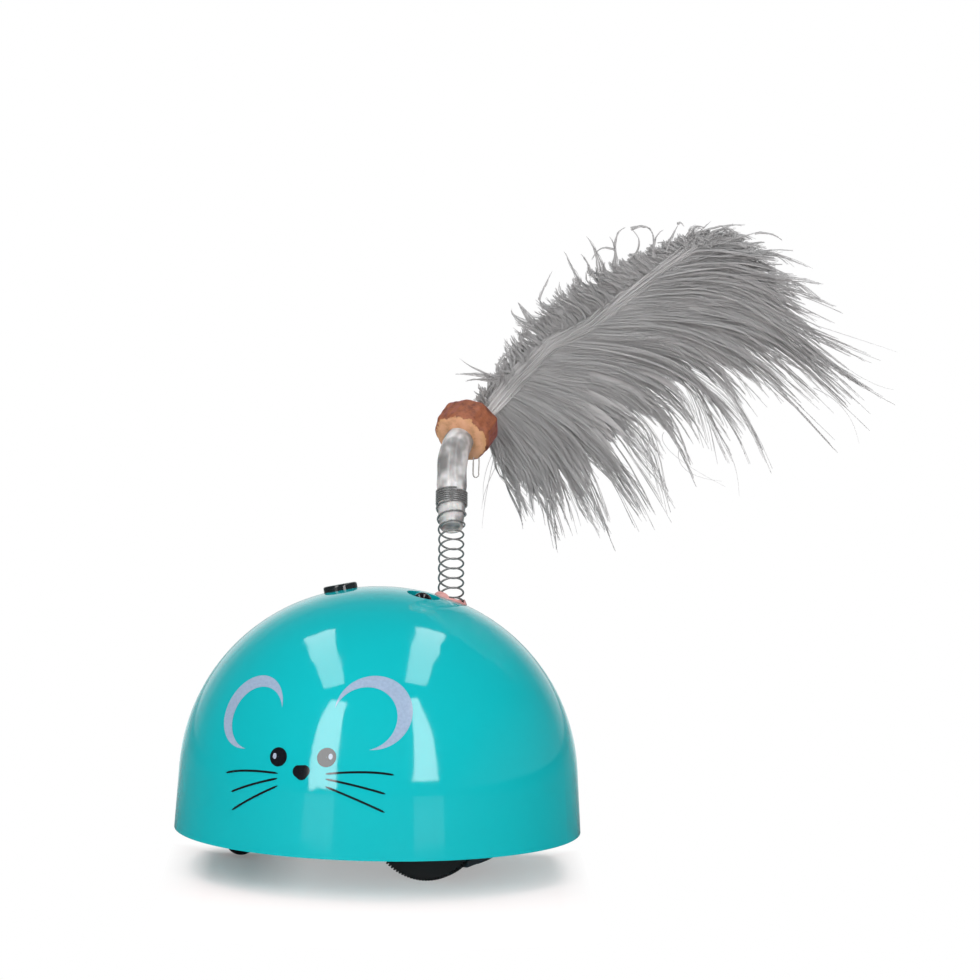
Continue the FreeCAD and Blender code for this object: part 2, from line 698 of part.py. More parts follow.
def make_drive(name, place):
    """One side's wheel, axle, gears and motor. place turns the front side's shapes where needed."""
    axle_y = (-WHEEL_FACE_Y, -HUB_BOSS_T / 2)
    export(name + "_axle", place(y_rod(AXLE_R, axle_y[0], axle_y[1], WHEEL_X, WHEEL_Z)))
    bush = y_rod(BUSH_R, -CASE_HALF_W - BUSH_OUT, -INNER_Y, WHEEL_X, WHEEL_Z)
    export(name + "_axle_bush", place(bush.cut(y_rod(AXLE_R + AXLE_FIT, -CASE_HALF_W - 1, 0, WHEEL_X, WHEEL_Z))))

    output = gear(OUTPUT_TEETH, OUTPUT_Y, WHEEL_AT, COMPOUND_DIR)
    export(name + "_output_gear", place(output.cut(y_rod(AXLE_R, -CASE_HALF_W, 0, WHEEL_X, WHEEL_Z))))
    compound = fuse(
        [
            gear(PINION_TEETH, PINION_Y, COMPOUND_AT, gap_dir(COMPOUND_DIR, PINION_TEETH)),
            gear(COMPOUND_TEETH, COMPOUND_Y, COMPOUND_AT, ROTOR_DIR),
        ]
    )
    pin_hole = y_rod(GEAR_PIN_R + AXLE_FIT, -CASE_HALF_W, 0, COMPOUND_AT.x, COMPOUND_AT.z)
    export(name + "_compound_gear", place(compound.cut(pin_hole)))
    pin = y_rod(GEAR_PIN_R, -CASE_HALF_W + PIN_SEAT / 2, 0, COMPOUND_AT.x, COMPOUND_AT.z)
    export(name + "_gear_pin", place(pin))
    rotor_gear = gear(ROTOR_TEETH, ROTOR_GEAR_Y, ROTOR_AT, gap_dir(ROTOR_DIR, ROTOR_TEETH))
    export(name + "_motor_pinion", place(rotor_gear.cut(y_rod(SHAFT_R, -CASE_HALF_W, 0, ROTOR_AT.x, ROTOR_AT.z))))

    half = CENTRE_T / 2
    can_end = half + CAN_L
    x, z = ROTOR_AT.x, ROTOR_AT.z
    can = fuse([y_rod(CAN_R, half, can_end, x, z), y_rod(NOSE_R, half - NOSE_L, half, x, z)])
    for side in (-TAB_SIDE, TAB_SIDE):
        left = x + side - TAB_W / 2
        can = can.fuse(box(left, left + TAB_W, can_end, can_end + TAB_L, z - TAB_T / 2, z + TAB_T / 2))
    can = can.cut(y_rod(CAN_R - CAN_WALL, half + CAN_WALL, can_end - CAN_CAP_T, x, z))
    can = can.cut(y_rod(SHAFT_R + AXLE_FIT, -CAN_L, can_end - CAN_CAP_T / 2, x, z))
    export(name + "_motor_can", place(can))
    core_mid = (half + CAN_WALL + can_end - CAN_CAP_T) / 2
    core = y_rod(ROTOR_R, core_mid - ROTOR_L / 2, core_mid + ROTOR_L / 2, x, z)
    shaft = y_rod(SHAFT_R, ROTOR_GEAR_Y[0] - 0.3, can_end - CAN_CAP_T / 2 - 0.2, x, z)
    export(name + "_motor_rotor", place(fuse([core, shaft])))
    make_wheel(name, place)


def make_wheel(name, place):
    face = -WHEEL_FACE_Y
    back = face + WHEEL_T
    tyre_in = WHEEL_R - TYRE_DEPTH
    points = []
    for i in range(2 * TREAD_RIBS):
        radius = WHEEL_R - (i % 2) * TREAD_DEPTH
        at = WHEEL_AT + in_xz(math.pi * i / TREAD_RIBS - math.pi / 2) * radius
        points.append(Vector(at.x, face, at.z))
    tyre = polygon(points).extrude(Vector(0, WHEEL_T, 0))
    export(name + "_tyre", place(tyre.cut(y_rod(tyre_in, face - 1, back + 1, WHEEL_X, WHEEL_Z))))
    hub = fuse(
        [
            y_rod(tyre_in, face, back, WHEEL_X, WHEEL_Z),
            y_rod(HUB_BOSS_R, back, back + HUB_BOSS_T, WHEEL_X, WHEEL_Z),
        ]
    )
    dish = y_rod(HUB_DISH_R, back - HUB_DISH_T, back + 1, WHEEL_X, WHEEL_Z)
    dish = dish.cut(y_rod(HUB_BOSS_R, face, back + 2, WHEEL_X, WHEEL_Z))
    hub = hub.cut(dish).cut(y_rod(AXLE_R, face - 1, back + 1, WHEEL_X, WHEEL_Z))
    export(name + "_wheel_hub", place(hub))


# Caster

BALL_AT = Vector(CASTER_X, 0, GROUND_Z + BALL_R)


def make_caster():
    export("caster_ball", Part.makeSphere(BALL_R, BALL_AT))
    bottom = BALL_AT.z - CUP_LIP
    cup = fuse(
        [
            rod(CUP_R, Vector(CASTER_X, 0, bottom), Vector(CASTER_X, 0, CUP_RECESS)),
            rod(CUP_STEM_R, Vector(CASTER_X, 0, CUP_RECESS), Vector(CASTER_X, 0, BASE_T)),
            rod(CUP_HEAD_R, Vector(CASTER_X, 0, BASE_T), Vector(CASTER_X, 0, BASE_T + CUP_HEAD_T)),
        ]
    )
    export("caster_housing", cup.cut(Part.makeSphere(BALL_R + BALL_FIT, BALL_AT)))


def make_base():
    plate = Part.makeCylinder(BASE_R, BASE_T)
    outer = box(BOX_X[0] - BOX_WALL, BOX_X[1] + BOX_WALL, -BOX_Y - BOX_WALL, BOX_Y + BOX_WALL, 0, ROOF_TOP)
    room = box(BOX_X[0], BOX_X[1], -BOX_Y, BOX_Y, -1, ROOF_Z)
    boss_top = BASE_T + DOOR_BOSS_H
    door_boss = rod(DOOR_BOSS_R, DOOR_SCREW_AT, DOOR_SCREW_AT + UP * boss_top)
    posts = [rod(POST_R, place, place + UP * POST_H) for place in post_places()]
    base = fuse([plate, outer, door_boss] + posts).cut(room)
    tongue_half = TONGUE_W / 2 + DOOR_GAP
    tongue_end = DOOR_FRONT - TONGUE_L - DOOR_GAP
    cuts = [
        box(CELL_MID_X - tongue_half, CELL_MID_X + tongue_half, tongue_end, DOOR_FRONT + 1, -1, TONGUE_T + DOOR_GAP),
        rod(DOOR_SHANK_R + DOOR_SCREW_FIT, DOOR_SCREW_AT, DOOR_SCREW_AT + UP * (boss_top - 1)),
        rod(
            HINGE_PIN_R + HINGE_FIT,
            Vector(DOOR_X[0] - HINGE_PIN_L - 2 * DOOR_GAP, HINGE_Y, HINGE_R),
            Vector(DOOR_X[1] + HINGE_PIN_L + 2 * DOOR_GAP, HINGE_Y, HINGE_R),
        ),
        box(
            WHEEL_X - BLOCK_HALF - CASE_GAP,
            WHEEL_X + BLOCK_HALF + CASE_GAP,
            -CASE_HALF_W - CASE_GAP,
            CASE_HALF_W + CASE_GAP,
            -1,
            BASE_T + 1,
        ),
        rod(CUP_STEM_R, Vector(CASTER_X, 0, -1), Vector(CASTER_X, 0, BASE_T + 1)),
        rod(CUP_R + CUP_FIT, Vector(CASTER_X, 0, -1), Vector(CASTER_X, 0, CUP_RECESS)),
    ]
    slot_half = WHEEL_R + WHEEL_GAP
    slot_y = WHEEL_FACE_Y + WHEEL_GAP
    for side in (-1, 1):
        y0, y1 = sorted((side * CASE_HALF_W, side * slot_y))
        cuts.append(box(WHEEL_X - slot_half, WHEEL_X + slot_half, y0, y1, -1, BASE_T + 1))
    for place in case_screw_places():
        cuts.append(rod(CASE_SHANK_R + SCREW_FIT, place, place + UP * BASE_T))
        cuts.append(rod(CASE_HEAD_R + HEAD_FIT, place - UP, place + UP * CASE_HEAD_T))
    for place in foot_places():
        cuts.append(rod(SMALL_SHANK_R + SCREW_FIT, place - UP * (FOOT_T + FOOT_SCREW_L + 0.2), place))
    for place in post_places():
        cuts.append(rod(SMALL_SHANK_R + SCREW_FIT, place + UP * (POST_H - FOOT_SCREW_L - 0.2), place + UP * (POST_H + 1)))
    for cut in cuts:
        base = base.cut(cut)
    export("base_plate", base)
    screws = []
    for place in case_screw_places():
        seat = place + UP * CASE_HEAD_T
        shank_l = BASE_T - CASE_HEAD_T + CASE_SCREW_L - 1
        screws.append(screw(CASE_HEAD_R, CASE_HEAD_T, CASE_SHANK_R, shank_l, seat, UP))
    export("case_screws", *screws)


def make_batteries():
    cells = []
    contacts = []
    for i, x in enumerate((CELL_MID_X - CELL_PITCH / 2, CELL_MID_X + CELL_PITCH / 2)):
        way = 1 if i == 0 else -1
        shift = -way * CELL_NIP_L / 2
        nip_end = shift + way * (CELL_END + CELL_NIP_L)
        body = y_rod(CELL_R, shift - CELL_END, shift + CELL_END, x, CELL_Z)
        cells.append(fuse([body, y_rod(CELL_NIP_R, min(shift, nip_end), max(shift, nip_end), x, CELL_Z)]))
        for side, touch in ((way, nip_end), (-way, shift - way * CELL_END)):
            wall = side * BOX_Y
            y0, y1 = sorted((wall, wall - side * CONTACT_T))
            plate = box(x - CONTACT_W / 2, x + CONTACT_W / 2, y0, y1, BASE_T + 1, ROOF_Z - 0.3)
            b0, b1 = sorted((wall, touch + side * 0.1))
            bump = y_rod(CELL_NIP_R, b0, b1, x, CELL_Z)
            contacts.append(fuse([plate, bump]))
    export("battery_cells", *cells)
    export("battery_contacts", *contacts)


def make_door():
    x0, x1 = DOOR_X
    plate = box(x0, x1, DOOR_FRONT, HINGE_Y, 0, DOOR_T)
    barrel = rod(HINGE_R, Vector(x0, HINGE_Y, HINGE_R), Vector(x1, HINGE_Y, HINGE_R))
    pins = rod(
        HINGE_PIN_R, Vector(x0 - HINGE_PIN_L, HINGE_Y, HINGE_R), Vector(x1 + HINGE_PIN_L, HINGE_Y, HINGE_R)
    )
    half = TONGUE_W / 2
    tongue = box(CELL_MID_X - half, CELL_MID_X + half, DOOR_FRONT - TONGUE_L, DOOR_FRONT, 0, TONGUE_T)
    door = fuse([plate, barrel, pins, tongue])
    door = door.cut(rod(DOOR_HEAD_R + HEAD_FIT, DOOR_SCREW_AT - UP, DOOR_SCREW_AT + UP * DOOR_HEAD_T))
    door = door.cut(rod(DOOR_SHANK_R + SCREW_FIT, DOOR_SCREW_AT, DOOR_SCREW_AT + UP * TONGUE_T))
    export("battery_door", door)
    seat = DOOR_SCREW_AT + UP * DOOR_HEAD_T
    shank_l = TONGUE_T - DOOR_HEAD_T + DOOR_SCREW_L
    export("battery_door_screw", screw(DOOR_HEAD_R, DOOR_HEAD_T, DOOR_SHANK_R, shank_l, seat, UP))


# Main board

CHIP_AT = (-17.0, 4.0)
CAPACITOR_AT = (-9.0, -14.0)
TILT_TUBE_AT = (-21.0, -12.0)
SOCKET_AT = ((-6.8, 9.0), (-6.8, -9.0), (-13.0, 17.0))


def make_main_board():
    board = box(BOARD_X[0], BOARD_X[1], -BOX_Y, BOX_Y, BOARD_Z, BOARD_TOP)
    screws = []
    for place in post_places():
        seat = place + UP * (POST_H + BOARD_T)
        board = board.cut(rod(SMALL_SHANK_R + SCREW_FIT, place, seat))
        screws.append(screw(SMALL_HEAD_R, SMALL_HEAD_T, SMALL_SHANK_R, BOARD_T + FOOT_SCREW_L, seat, -UP))
    export("main_board", board)
    export("main_board_screws", *screws)
    chip_x, chip_y = CHIP_AT
    length, width, height = CHIP
    export(
        "controller_chip",
        box(chip_x - length / 2, chip_x + length / 2, chip_y - width / 2, chip_y + width / 2, BOARD_TOP, BOARD_TOP + height),
    )
    foot = Vector(CAPACITOR_AT[0], CAPACITOR_AT[1], BOARD_TOP)
    export("capacitor", rod(CAPACITOR_R, foot, foot + UP * CAPACITOR_H))
    tube_at = Vector(TILT_TUBE_AT[0], TILT_TUBE_AT[1], BOARD_TOP + TILT_TUBE_R)
    reach = ALONG_X * (TILT_TUBE_L / 2)
    export("vibration_switch", rod(TILT_TUBE_R, tube_at - reach, tube_at + reach))
    sockets = []
    for x, y in SOCKET_AT:
        sx, sy, sz = PLUG_SOCKET
        sockets.append(box(x - sx / 2, x + sx / 2, y - sy / 2, y + sy / 2, BOARD_TOP, BOARD_TOP + sz))
    export("board_sockets", *sockets)


# Wires inside the case


def route(points):
    """Straight runs joined by tangent arcs, each arc as large as its two runs allow."""
    edges = []
    at = points[0]
    for before, corner, after in zip(points, points[1:], points[2:]):
        first = corner - before
        second = after - corner
        setback = 0.45 * min(first.Length, second.Length)
        half_turn = first.getAngle(second) / 2
        radius = setback / math.tan(half_turn)
        start = corner - first.normalize() * setback
        end = corner + second.normalize() * setback
        inward = (second - first).normalize()
        middle = corner + inward * (radius / math.cos(half_turn) - radius)
        edges.append(line(at, start))
        edges.append(Part.Arc(start, middle, end).toShape())
        at = end
    edges.append(line(at, points[-1]))
    return Part.Wire(edges)


def tube(path, radius):
    """A round tube along a wire."""
    start = path.Edges[0]
    tangent = start.tangentAt(start.FirstParameter)
    ring = Part.Wire(Part.makeCircle(radius, start.valueAt(start.FirstParameter), tangent))
    return path.makePipeShell([ring], True, False)


def wire_routes():
    """Each pair's route: places on its centre line, and how far the red wire stands off it there."""
    socket_top = BOARD_TOP + PLUG_SOCKET[2]
    tab_y = CENTRE_T / 2 + CAN_L + TAB_L / 2
    tab_z = ROTOR_AT.z + TAB_T / 2
    rear_x = 2 * WHEEL_X - ROTOR_AT.x
    side = WIRE_PITCH / 2
    (ax, ay), (bx, by), (cx, cy) = SOCKET_AT
    to_front = [
        ((ax, ay, socket_top), (0, side, 0)),
        ((ax, ay, socket_top + 5), (0, side, 0)),
        ((ax + 6, ay + 3.5, socket_top + 10), (-0.4, side, 0)),
        ((ROTOR_AT.x, tab_y, ROTOR_AT.z + 10), (-TAB_SIDE, 0, 0)),
        ((ROTOR_AT.x, tab_y, tab_z), (-TAB_SIDE, 0, 0)),
    ]
    to_rear = [
        ((bx, by, socket_top), (0, -side, 0)),
        ((bx, by, socket_top + 5), (0, -side, 0)),
        ((bx + 8, by - 3, socket_top + 12), (0, -side, -0.4)),
        ((bx + 22, by - 6.5, socket_top + 11), (0, -1.6, -0.8)),
        ((rear_x, -tab_y, ROTOR_AT.z + 10), (-TAB_SIDE, 0, -0.8)),
        ((rear_x, -tab_y, tab_z), (-TAB_SIDE, 0, 0)),
    ]
    to_top = [
        ((cx, cy, socket_top), (side, 0, 0)),
        ((cx, cy, socket_top + 7), (side, 0, 0)),
        ((cx, cy - 4, socket_top + 13), (side, 0, 0)),
        ((cx, cy - 12, socket_top + 17), (side, 0, 0)),
        ((cx, cy - 12, TOP_BOARD_Z), (side, 0, 0)),
    ]
    return to_front, to_rear, to_top


def make_wires():
    for name, way in (("red_wires", 1), ("black_wires", -1)):
        tubes = []
        for places in wire_routes():
            path = route([Vector(*at) + Vector(*stand) * way for at, stand in places])
            wire = tube(path, WIRE_COVER_R)
            bends = [edge.Curve.Radius for edge in path.Edges if isinstance(edge.Curve, Part.Circle)]
            share = wire.Volume / (math.pi * WIRE_COVER_R**2 * path.Length)
            print(name, "least bend", round(min(bends), 1), "volume over section times length", round(share, 3))
            tubes.append(wire)
        export(name, *tubes)


# Tail: its centre line is a straight lean, an arc that straightens it, a short rise and an elbow

ACROSS = turned(1, 0, 0)
CURVE_L = CURVE_R * (TAIL_LEAN - SLEEVE_LEAN)


def leaning(lean):
    return turned(0, math.sin(lean), math.cos(lean))


CURVE_START = TAIL_SEAT + leaning(TAIL_LEAN) * STRAIGHT_L
CURVE_CENTRE = CURVE_START + turned(0, -math.cos(TAIL_LEAN), math.sin(TAIL_LEAN)) * CURVE_R


def tail_line(s):
    """The point of the tail's centre line at the length s from the dome, and its direction."""
    if s <= STRAIGHT_L:
        return TAIL_SEAT + leaning(TAIL_LEAN) * s, leaning(TAIL_LEAN)
    lean = TAIL_LEAN - (s - STRAIGHT_L) / CURVE_R
    return CURVE_CENTRE + turned(0, math.cos(lean), -math.sin(lean)) * CURVE_R, leaning(lean)


RISE_START, RISE_DIR = tail_line(STRAIGHT_L + CURVE_L)
ELBOW_START = RISE_START + RISE_DIR * TAIL_RISE_L
BEAD_AXIS = turned(BEAD_DIR.x, BEAD_DIR.y, BEAD_DIR.z)
ELBOW_TURN = RISE_DIR.getAngle(BEAD_AXIS)
ELBOW_IN = (BEAD_AXIS - RISE_DIR * BEAD_AXIS.dot(RISE_DIR)).normalize()


def elbow_point(turn):
    return ELBOW_START + RISE_DIR * (ELBOW_R * math.sin(turn)) + ELBOW_IN * (ELBOW_R * (1 - math.cos(turn)))


BEAD_FACE = elbow_point(ELBOW_TURN)
BEAD_BACK = BEAD_FACE + BEAD_AXIS * BEAD_T


def make_plug():
    """Rubber grommet: a domed head on the dome, a neck in its hole and a flange inside."""
    bottom = along(TAIL_SEAT, TAIL_NORMAL, WALL + PLUG_FLANGE_T)
    ball_r = (PLUG_R**2 + PLUG_H**2) / (2 * PLUG_H)
    ball_at = along(TAIL_SEAT, TAIL_NORMAL, ball_r - PLUG_H)
    head = Part.makeSphere(ball_r, ball_at).common(rod(PLUG_R, TAIL_SEAT, along(TAIL_SEAT, TAIL_NORMAL, -PLUG_R)))
    skirt = rod(PLUG_R, along(TAIL_SEAT, TAIL_NORMAL, WALL / 2), TAIL_SEAT).cut(dome_solid(0, 0))
    neck = rod(PLUG_NECK_R, bottom, TAIL_SEAT)
    flange = rod(PLUG_FLANGE_R, bottom, along(TAIL_SEAT, TAIL_NORMAL, WALL)).common(INSIDE)
    plug = fuse([head, skirt, neck, flange])
    lean = leaning(TAIL_LEAN)
    floor = TAIL_SEAT + lean * (SPRING_START - WIRE_R - 0.3)
    bore = rod(CURL_R + WIRE_R + PLUG_BORE_FIT, floor, TAIL_SEAT + lean * (2 * PLUG_R))
    export("tail_plug", plug.cut(bore))


def curl_frame(s, turn, radius):
    centre, direction = tail_line(s)
    side = direction.cross(ACROSS)
    return centre + (ACROSS * math.cos(turn) + side * math.sin(turn)) * radius


def spring_radius(s):
    share = min(1.0, max(0.0, (s - FLARE_START) / (PACK_START - FLARE_START)))
    return CURL_R + (PACK_R - CURL_R) * share


def spring_length(turns, open_turns):
    """The length along the tail at which the wire has made so many turns."""
    if turns <= open_turns:
        return SPRING_START + turns * CURL_PITCH
    return SPRING_START + open_turns * CURL_PITCH + (turns - open_turns) * PACK_PITCH


def biarc(p0, t0, p1, t1):
    """Two tangent arcs from one point and direction to another."""
    v = p1 - p0
    t = t0 + t1
    a = 2 * (1 - t0.dot(t1))
    b = 2 * v.dot(t)
    c = v.dot(v)
    reach = (-b + math.sqrt(b * b + 4 * a * c)) / (2 * a)
    joint = (p0 + p1 + (t0 - t1) * reach) * 0.5
    edges = []
    for start, way, end, back in ((p0, t0, joint, None), (joint, None, p1, t1)):
        corner = start + way * reach if way else end - back * reach
        chord_mid = (start + end) * 0.5
        lift = corner - chord_mid
        half = (end - start).Length / 2
        side = (corner - start).Length
        middle = chord_mid + lift * (half / (side + half))
        edges.append(Part.Arc(start, middle, end).toShape())
    return edges


def make_spring():
    """Open curls up the tail, then a close pack on the sleeve, as one wire."""
    open_turns = round((PACK_START - SPRING_START) / CURL_PITCH * 2) / 2
    turns = open_turns + PACK_CURLS
    quarter = 4

    def wire_point(u):
        s = spring_length(u, open_turns)
        return curl_frame(s, 2 * math.pi * u + CURL_PHASE, spring_radius(s))

    step = 1e-4
    count = round(turns * quarter)
    marks = [turns * i / count for i in range(count + 1)]
    points = [wire_point(u) for u in marks]
    ways = [(wire_point(u + step) - wire_point(u - step)).normalize() for u in marks]
    edges = []
    for i in range(count):
        edges += biarc(points[i], ways[i], points[i + 1], ways[i + 1])
    spring = tube(Part.Wire(edges), WIRE_R)
    export("tail_spring", spring)
    samples = [wire_point(turns * i / (48 * turns)) for i in range(int(48 * turns) + 1)]
    gap = min(
        (samples[i] - samples[j]).Length
        for i in range(len(samples))
        for j in range(i + 24, min(i + 72, len(samples)))
    )
    print("spring curls", turns, "least gap between wires", round(gap - 2 * WIRE_R, 2), "volume", round(spring.Volume, 1))


def make_sleeve():
    """Soft tube: a tapered end in the spring, then a bend that turns over into the bead."""
    mid_s = PACK_START
    stations = [SLEEVE_START, (SLEEVE_START + mid_s) / 2, mid_s]
    radii = [SLEEVE_TIP_R, (SLEEVE_TIP_R + SLEEVE_MID_R) / 2, SLEEVE_MID_R]

    def taper(inset):
        rings = []
        for s, radius in zip(stations, radii):
            centre, direction = tail_line(s)
            rings.append(Part.Wire(Part.makeCircle(radius - inset, centre, direction)))
        return Part.makeLoft(rings, True, True)

    curve_end = STRAIGHT_L + CURVE_L
    start = tail_line(mid_s)[0]
    end = BEAD_FACE + BEAD_AXIS * SLEEVE_IN_BEAD
    path = Part.Wire(
        [
            Part.Arc(start, tail_line((mid_s + curve_end) / 2)[0], RISE_START).toShape(),
            line(RISE_START, ELBOW_START),
            Part.Arc(ELBOW_START, elbow_point(ELBOW_TURN / 2), BEAD_FACE).toShape(),
            line(BEAD_FACE, end),
        ]
    )
    outside = fuse([taper(0), tube(path, SLEEVE_MID_R)])
    inside = fuse([taper(SLEEVE_WALL), tube(path, SLEEVE_MID_R - SLEEVE_WALL)])
    export("feather_sleeve", outside.cut(inside))


def make_bead():
    """A slice of a branch: uneven flat sides, bevelled edges and a hole for the tube and the quill."""
    across = ELBOW_IN.cross(RISE_DIR).normalize()
    up = BEAD_AXIS.cross(across)

    def ring(depth, shrink):
        points = []
        for i in range(BEAD_SIDES):
            angle = 2 * math.pi * (i + 0.15 * math.sin(3.1 * i)) / BEAD_SIDES
            radius = BEAD_R * (1 + 0.05 * math.sin(2.3 * i + 1)) - shrink
            around = (across * math.cos(angle) + up * math.sin(angle)) * radius
            points.append(BEAD_FACE + BEAD_AXIS * depth + around)
        return Part.makePolygon(points + points[:1])

    rings = [ring(0, BEAD_BEVEL), ring(BEAD_BEVEL, 0), ring(BEAD_T - BEAD_BEVEL, 0), ring(BEAD_T, BEAD_BEVEL)]
    bead = Part.makeLoft(rings, True, True)
    socket = rod(SLEEVE_MID_R + BEAD_HOLE_FIT, along(BEAD_FACE, BEAD_AXIS, 1), BEAD_FACE + BEAD_AXIS * SLEEVE_IN_BEAD)
    hole = rod(QUILL_R + BEAD_HOLE_FIT, BEAD_FACE, BEAD_BACK + BEAD_AXIS)
    export("wooden_bead", bead.cut(socket).cut(hole))


# Feather: its quill and plume lie in one plane behind the tail. Places are (side, up) from the
# spot where the tail leaves the dome.

QUILL_LINE = ((17.4, 52.4), (34.0, 66.8), (53.0, 81.6), (64.1, 88.0))
PLUME_ROOT = (7.7, 42.1)
PLUME_TIPS = (
    (19.0, 16.3),
    (29.5, 13.9),
    (43.3, 11.9),
    (55.7, 22.8),
    (63.6, 30.2),
    (76.0, 30.7),
    (88.8, 35.1),
    (99.7, 42.1),
    (110.1, 48.5),
    (103.6, 57.4),
    (97.2, 68.8),
    (90.3, 77.7),
    (81.9, 85.6),
    (73.0, 91.5),
    (61.6, 92.0),
    (49.8, 87.1),
    (39.4, 83.1),
    (29.0, 79.6),
    (21.6, 73.7),
    (14.6, 64.8),
    (9.2, 55.9),
    (4.8, 47.0),
)
TIP_NOTCH = 0.13
PLUME_THICK = 7.0
PLUME_MIDDLE = (57.2, 51.9)
PLUME_REACH = 64.0


def plume_point(side, up, back=0.0):
    return TAIL_SEAT + turned(side, PLUME_BACK + back, up)


def quill_points():
    start = BEAD_FACE + BEAD_AXIS * (SLEEVE_IN_BEAD + 0.5)
    leave = BEAD_BACK + BEAD_AXIS * 2.0
    root = plume_point(PLUME_ROOT[0] + 1.8, PLUME_ROOT[1] + 2.0)
    return [start, leave, root] + [plume_point(side, up) for side, up in QUILL_LINE]


def plume_outline():
    """Pointed clumps of barbs, with a notch between each two, drawn in towards the quill."""
    points = [PLUME_ROOT]
    for i, tip in enumerate(PLUME_TIPS):
        points.append(tip)
        if i + 1 < len(PLUME_TIPS):
            after = PLUME_TIPS[i + 1]
            mid = ((tip[0] + after[0]) / 2, (tip[1] + after[1]) / 2)
            points.append(tuple(m + (c - m) * TIP_NOTCH for m, c in zip(mid, QUILL_LINE[1])))
    return points


def make_feather():
    quill = tube(route(quill_points()), QUILL_R)
    export("feather_quill", quill)
    outline = polygon([plume_point(side, up, -PLUME_THICK) for side, up in plume_outline()])
    plume = outline.extrude(turned(0, 2 * PLUME_THICK, 0))
    ball_r = (PLUME_REACH**2 + (PLUME_THICK / 2) ** 2) / PLUME_THICK
    for way in (-1, 1):
        ball_at = plume_point(PLUME_MIDDLE[0], PLUME_MIDDLE[1], way * (ball_r - PLUME_THICK / 2))
        plume = plume.common(Part.makeSphere(ball_r, ball_at))
    export("feather_plume", plume.cut(quill))


def make_thread():
    """A small loop of thread that hangs from the bead."""
    top = BEAD_FACE + BEAD_AXIS * (BEAD_T / 2) - UP * (BEAD_R + 0.2)
    half = ACROSS * THREAD_LOOP_R
    low = top - UP * THREAD_DROP
    path = Part.Wire(
        [
            line(top - half, low - half),
            Part.Arc(low - half, low - UP * THREAD_LOOP_R, low + half).toShape(),
            line(low + half, top + half),
        ]
    )
    export("thread_loop", tube(path, THREAD_R))


os.makedirs("parts", exist_ok=True)
make_dome()
make_button()
make_switch()
make_sensor()
make_top_board()
make_base()
make_batteries()
make_door()
make_main_board()
make_wires()
make_gearbox()
make_drive("front", lambda shape: shape)
make_drive("rear", rear)
make_caster()
make_plug()
make_spring()
make_sleeve()
make_bead()
make_feather()
make_thread()
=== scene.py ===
import json
from math import acos, atan2, cos, pi, radians, sin, sqrt, tan, tau

import bpy
import numpy as np
from mathutils import Matrix, Vector


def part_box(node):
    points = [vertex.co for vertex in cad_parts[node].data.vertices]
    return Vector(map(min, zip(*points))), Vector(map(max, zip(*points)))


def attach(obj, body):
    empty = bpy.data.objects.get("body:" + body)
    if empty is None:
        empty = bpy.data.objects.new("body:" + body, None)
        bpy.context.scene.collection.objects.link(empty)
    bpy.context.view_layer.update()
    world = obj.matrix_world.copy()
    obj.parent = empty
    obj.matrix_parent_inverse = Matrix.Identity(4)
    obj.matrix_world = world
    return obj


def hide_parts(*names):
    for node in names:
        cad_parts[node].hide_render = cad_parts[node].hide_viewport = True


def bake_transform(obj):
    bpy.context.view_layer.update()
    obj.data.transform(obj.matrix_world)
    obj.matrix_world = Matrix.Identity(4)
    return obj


# Toy mouse: materials for the CAD parts, and meshes for the tyres, the printed face, the spring, the soft
# tube, the bead, the thread and the feather. Lengths are millimetres, but metres in materials and lights.

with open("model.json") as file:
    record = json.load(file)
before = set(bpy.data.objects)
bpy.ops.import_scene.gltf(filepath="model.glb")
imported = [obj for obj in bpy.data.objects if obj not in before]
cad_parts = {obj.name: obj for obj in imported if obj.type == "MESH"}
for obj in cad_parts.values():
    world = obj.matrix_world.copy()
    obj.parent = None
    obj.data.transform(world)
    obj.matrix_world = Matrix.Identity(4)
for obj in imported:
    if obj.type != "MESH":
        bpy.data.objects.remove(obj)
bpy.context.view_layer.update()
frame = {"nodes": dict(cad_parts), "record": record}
MM = 0.001
rng = np.random.default_rng(11)


# Meshes


def put(name, data):
    obj = bpy.data.objects.new(name, data)
    bpy.context.scene.collection.objects.link(obj)
    return obj


def make_object(name, points, faces, smooth=True):
    mesh = bpy.data.meshes.new(name)
    mesh.from_pydata((np.asarray(points, float) * MM).tolist(), [], faces)
    mesh.polygons.foreach_set("use_smooth", [smooth] * len(mesh.polygons))
    mesh.update()
    return put(name, mesh)


def joined(*columns):
    return np.stack(columns, axis=-1)


def unit(v):
    return v / np.linalg.norm(v, axis=-1, keepdims=True)


def grid_faces(rows, columns, closed):
    """Quads of a grid of points, whose columns run on into the first where it is closed."""
    i, j = np.meshgrid(np.arange(rows - 1), np.arange(columns if closed else columns - 1), indexing="ij")
    k = (j + 1) % columns
    here, after = i * columns, (i + 1) * columns
    return joined(here + j, here + k, after + k, after + j).reshape(-1, 4)


def grids_object(name, grids, closed):
    """Grids of points, as (grid, row, column, xyz), in one mesh."""
    count, rows, columns = grids.shape[:3]
    first = np.arange(count)[:, None, None] * rows * columns
    faces = (grid_faces(rows, columns, closed)[None] + first).reshape(-1, 4)
    return make_object(name, grids.reshape(-1, 3), faces.tolist())


def around(first, second, turns):
    """Directions round a line: at each of its points, one for each turn from first towards second."""
    return first[..., None, :] * np.cos(turns)[:, None] + second[..., None, :] * np.sin(turns)[:, None]


def strands(name, lines, radii, sides, across):
    """Round strands along lines, an array of (strand, point, xyz), as one mesh."""
    way = unit(np.gradient(lines, axis=1))
    first = unit(np.cross(way, across))
    ring = around(first, np.cross(way, first), np.arange(sides) * tau / sides)
    radii = np.broadcast_to(radii, lines.shape[:2])[:, :, None, None]
    return grids_object(name, lines[:, :, None] + ring * radii, True)


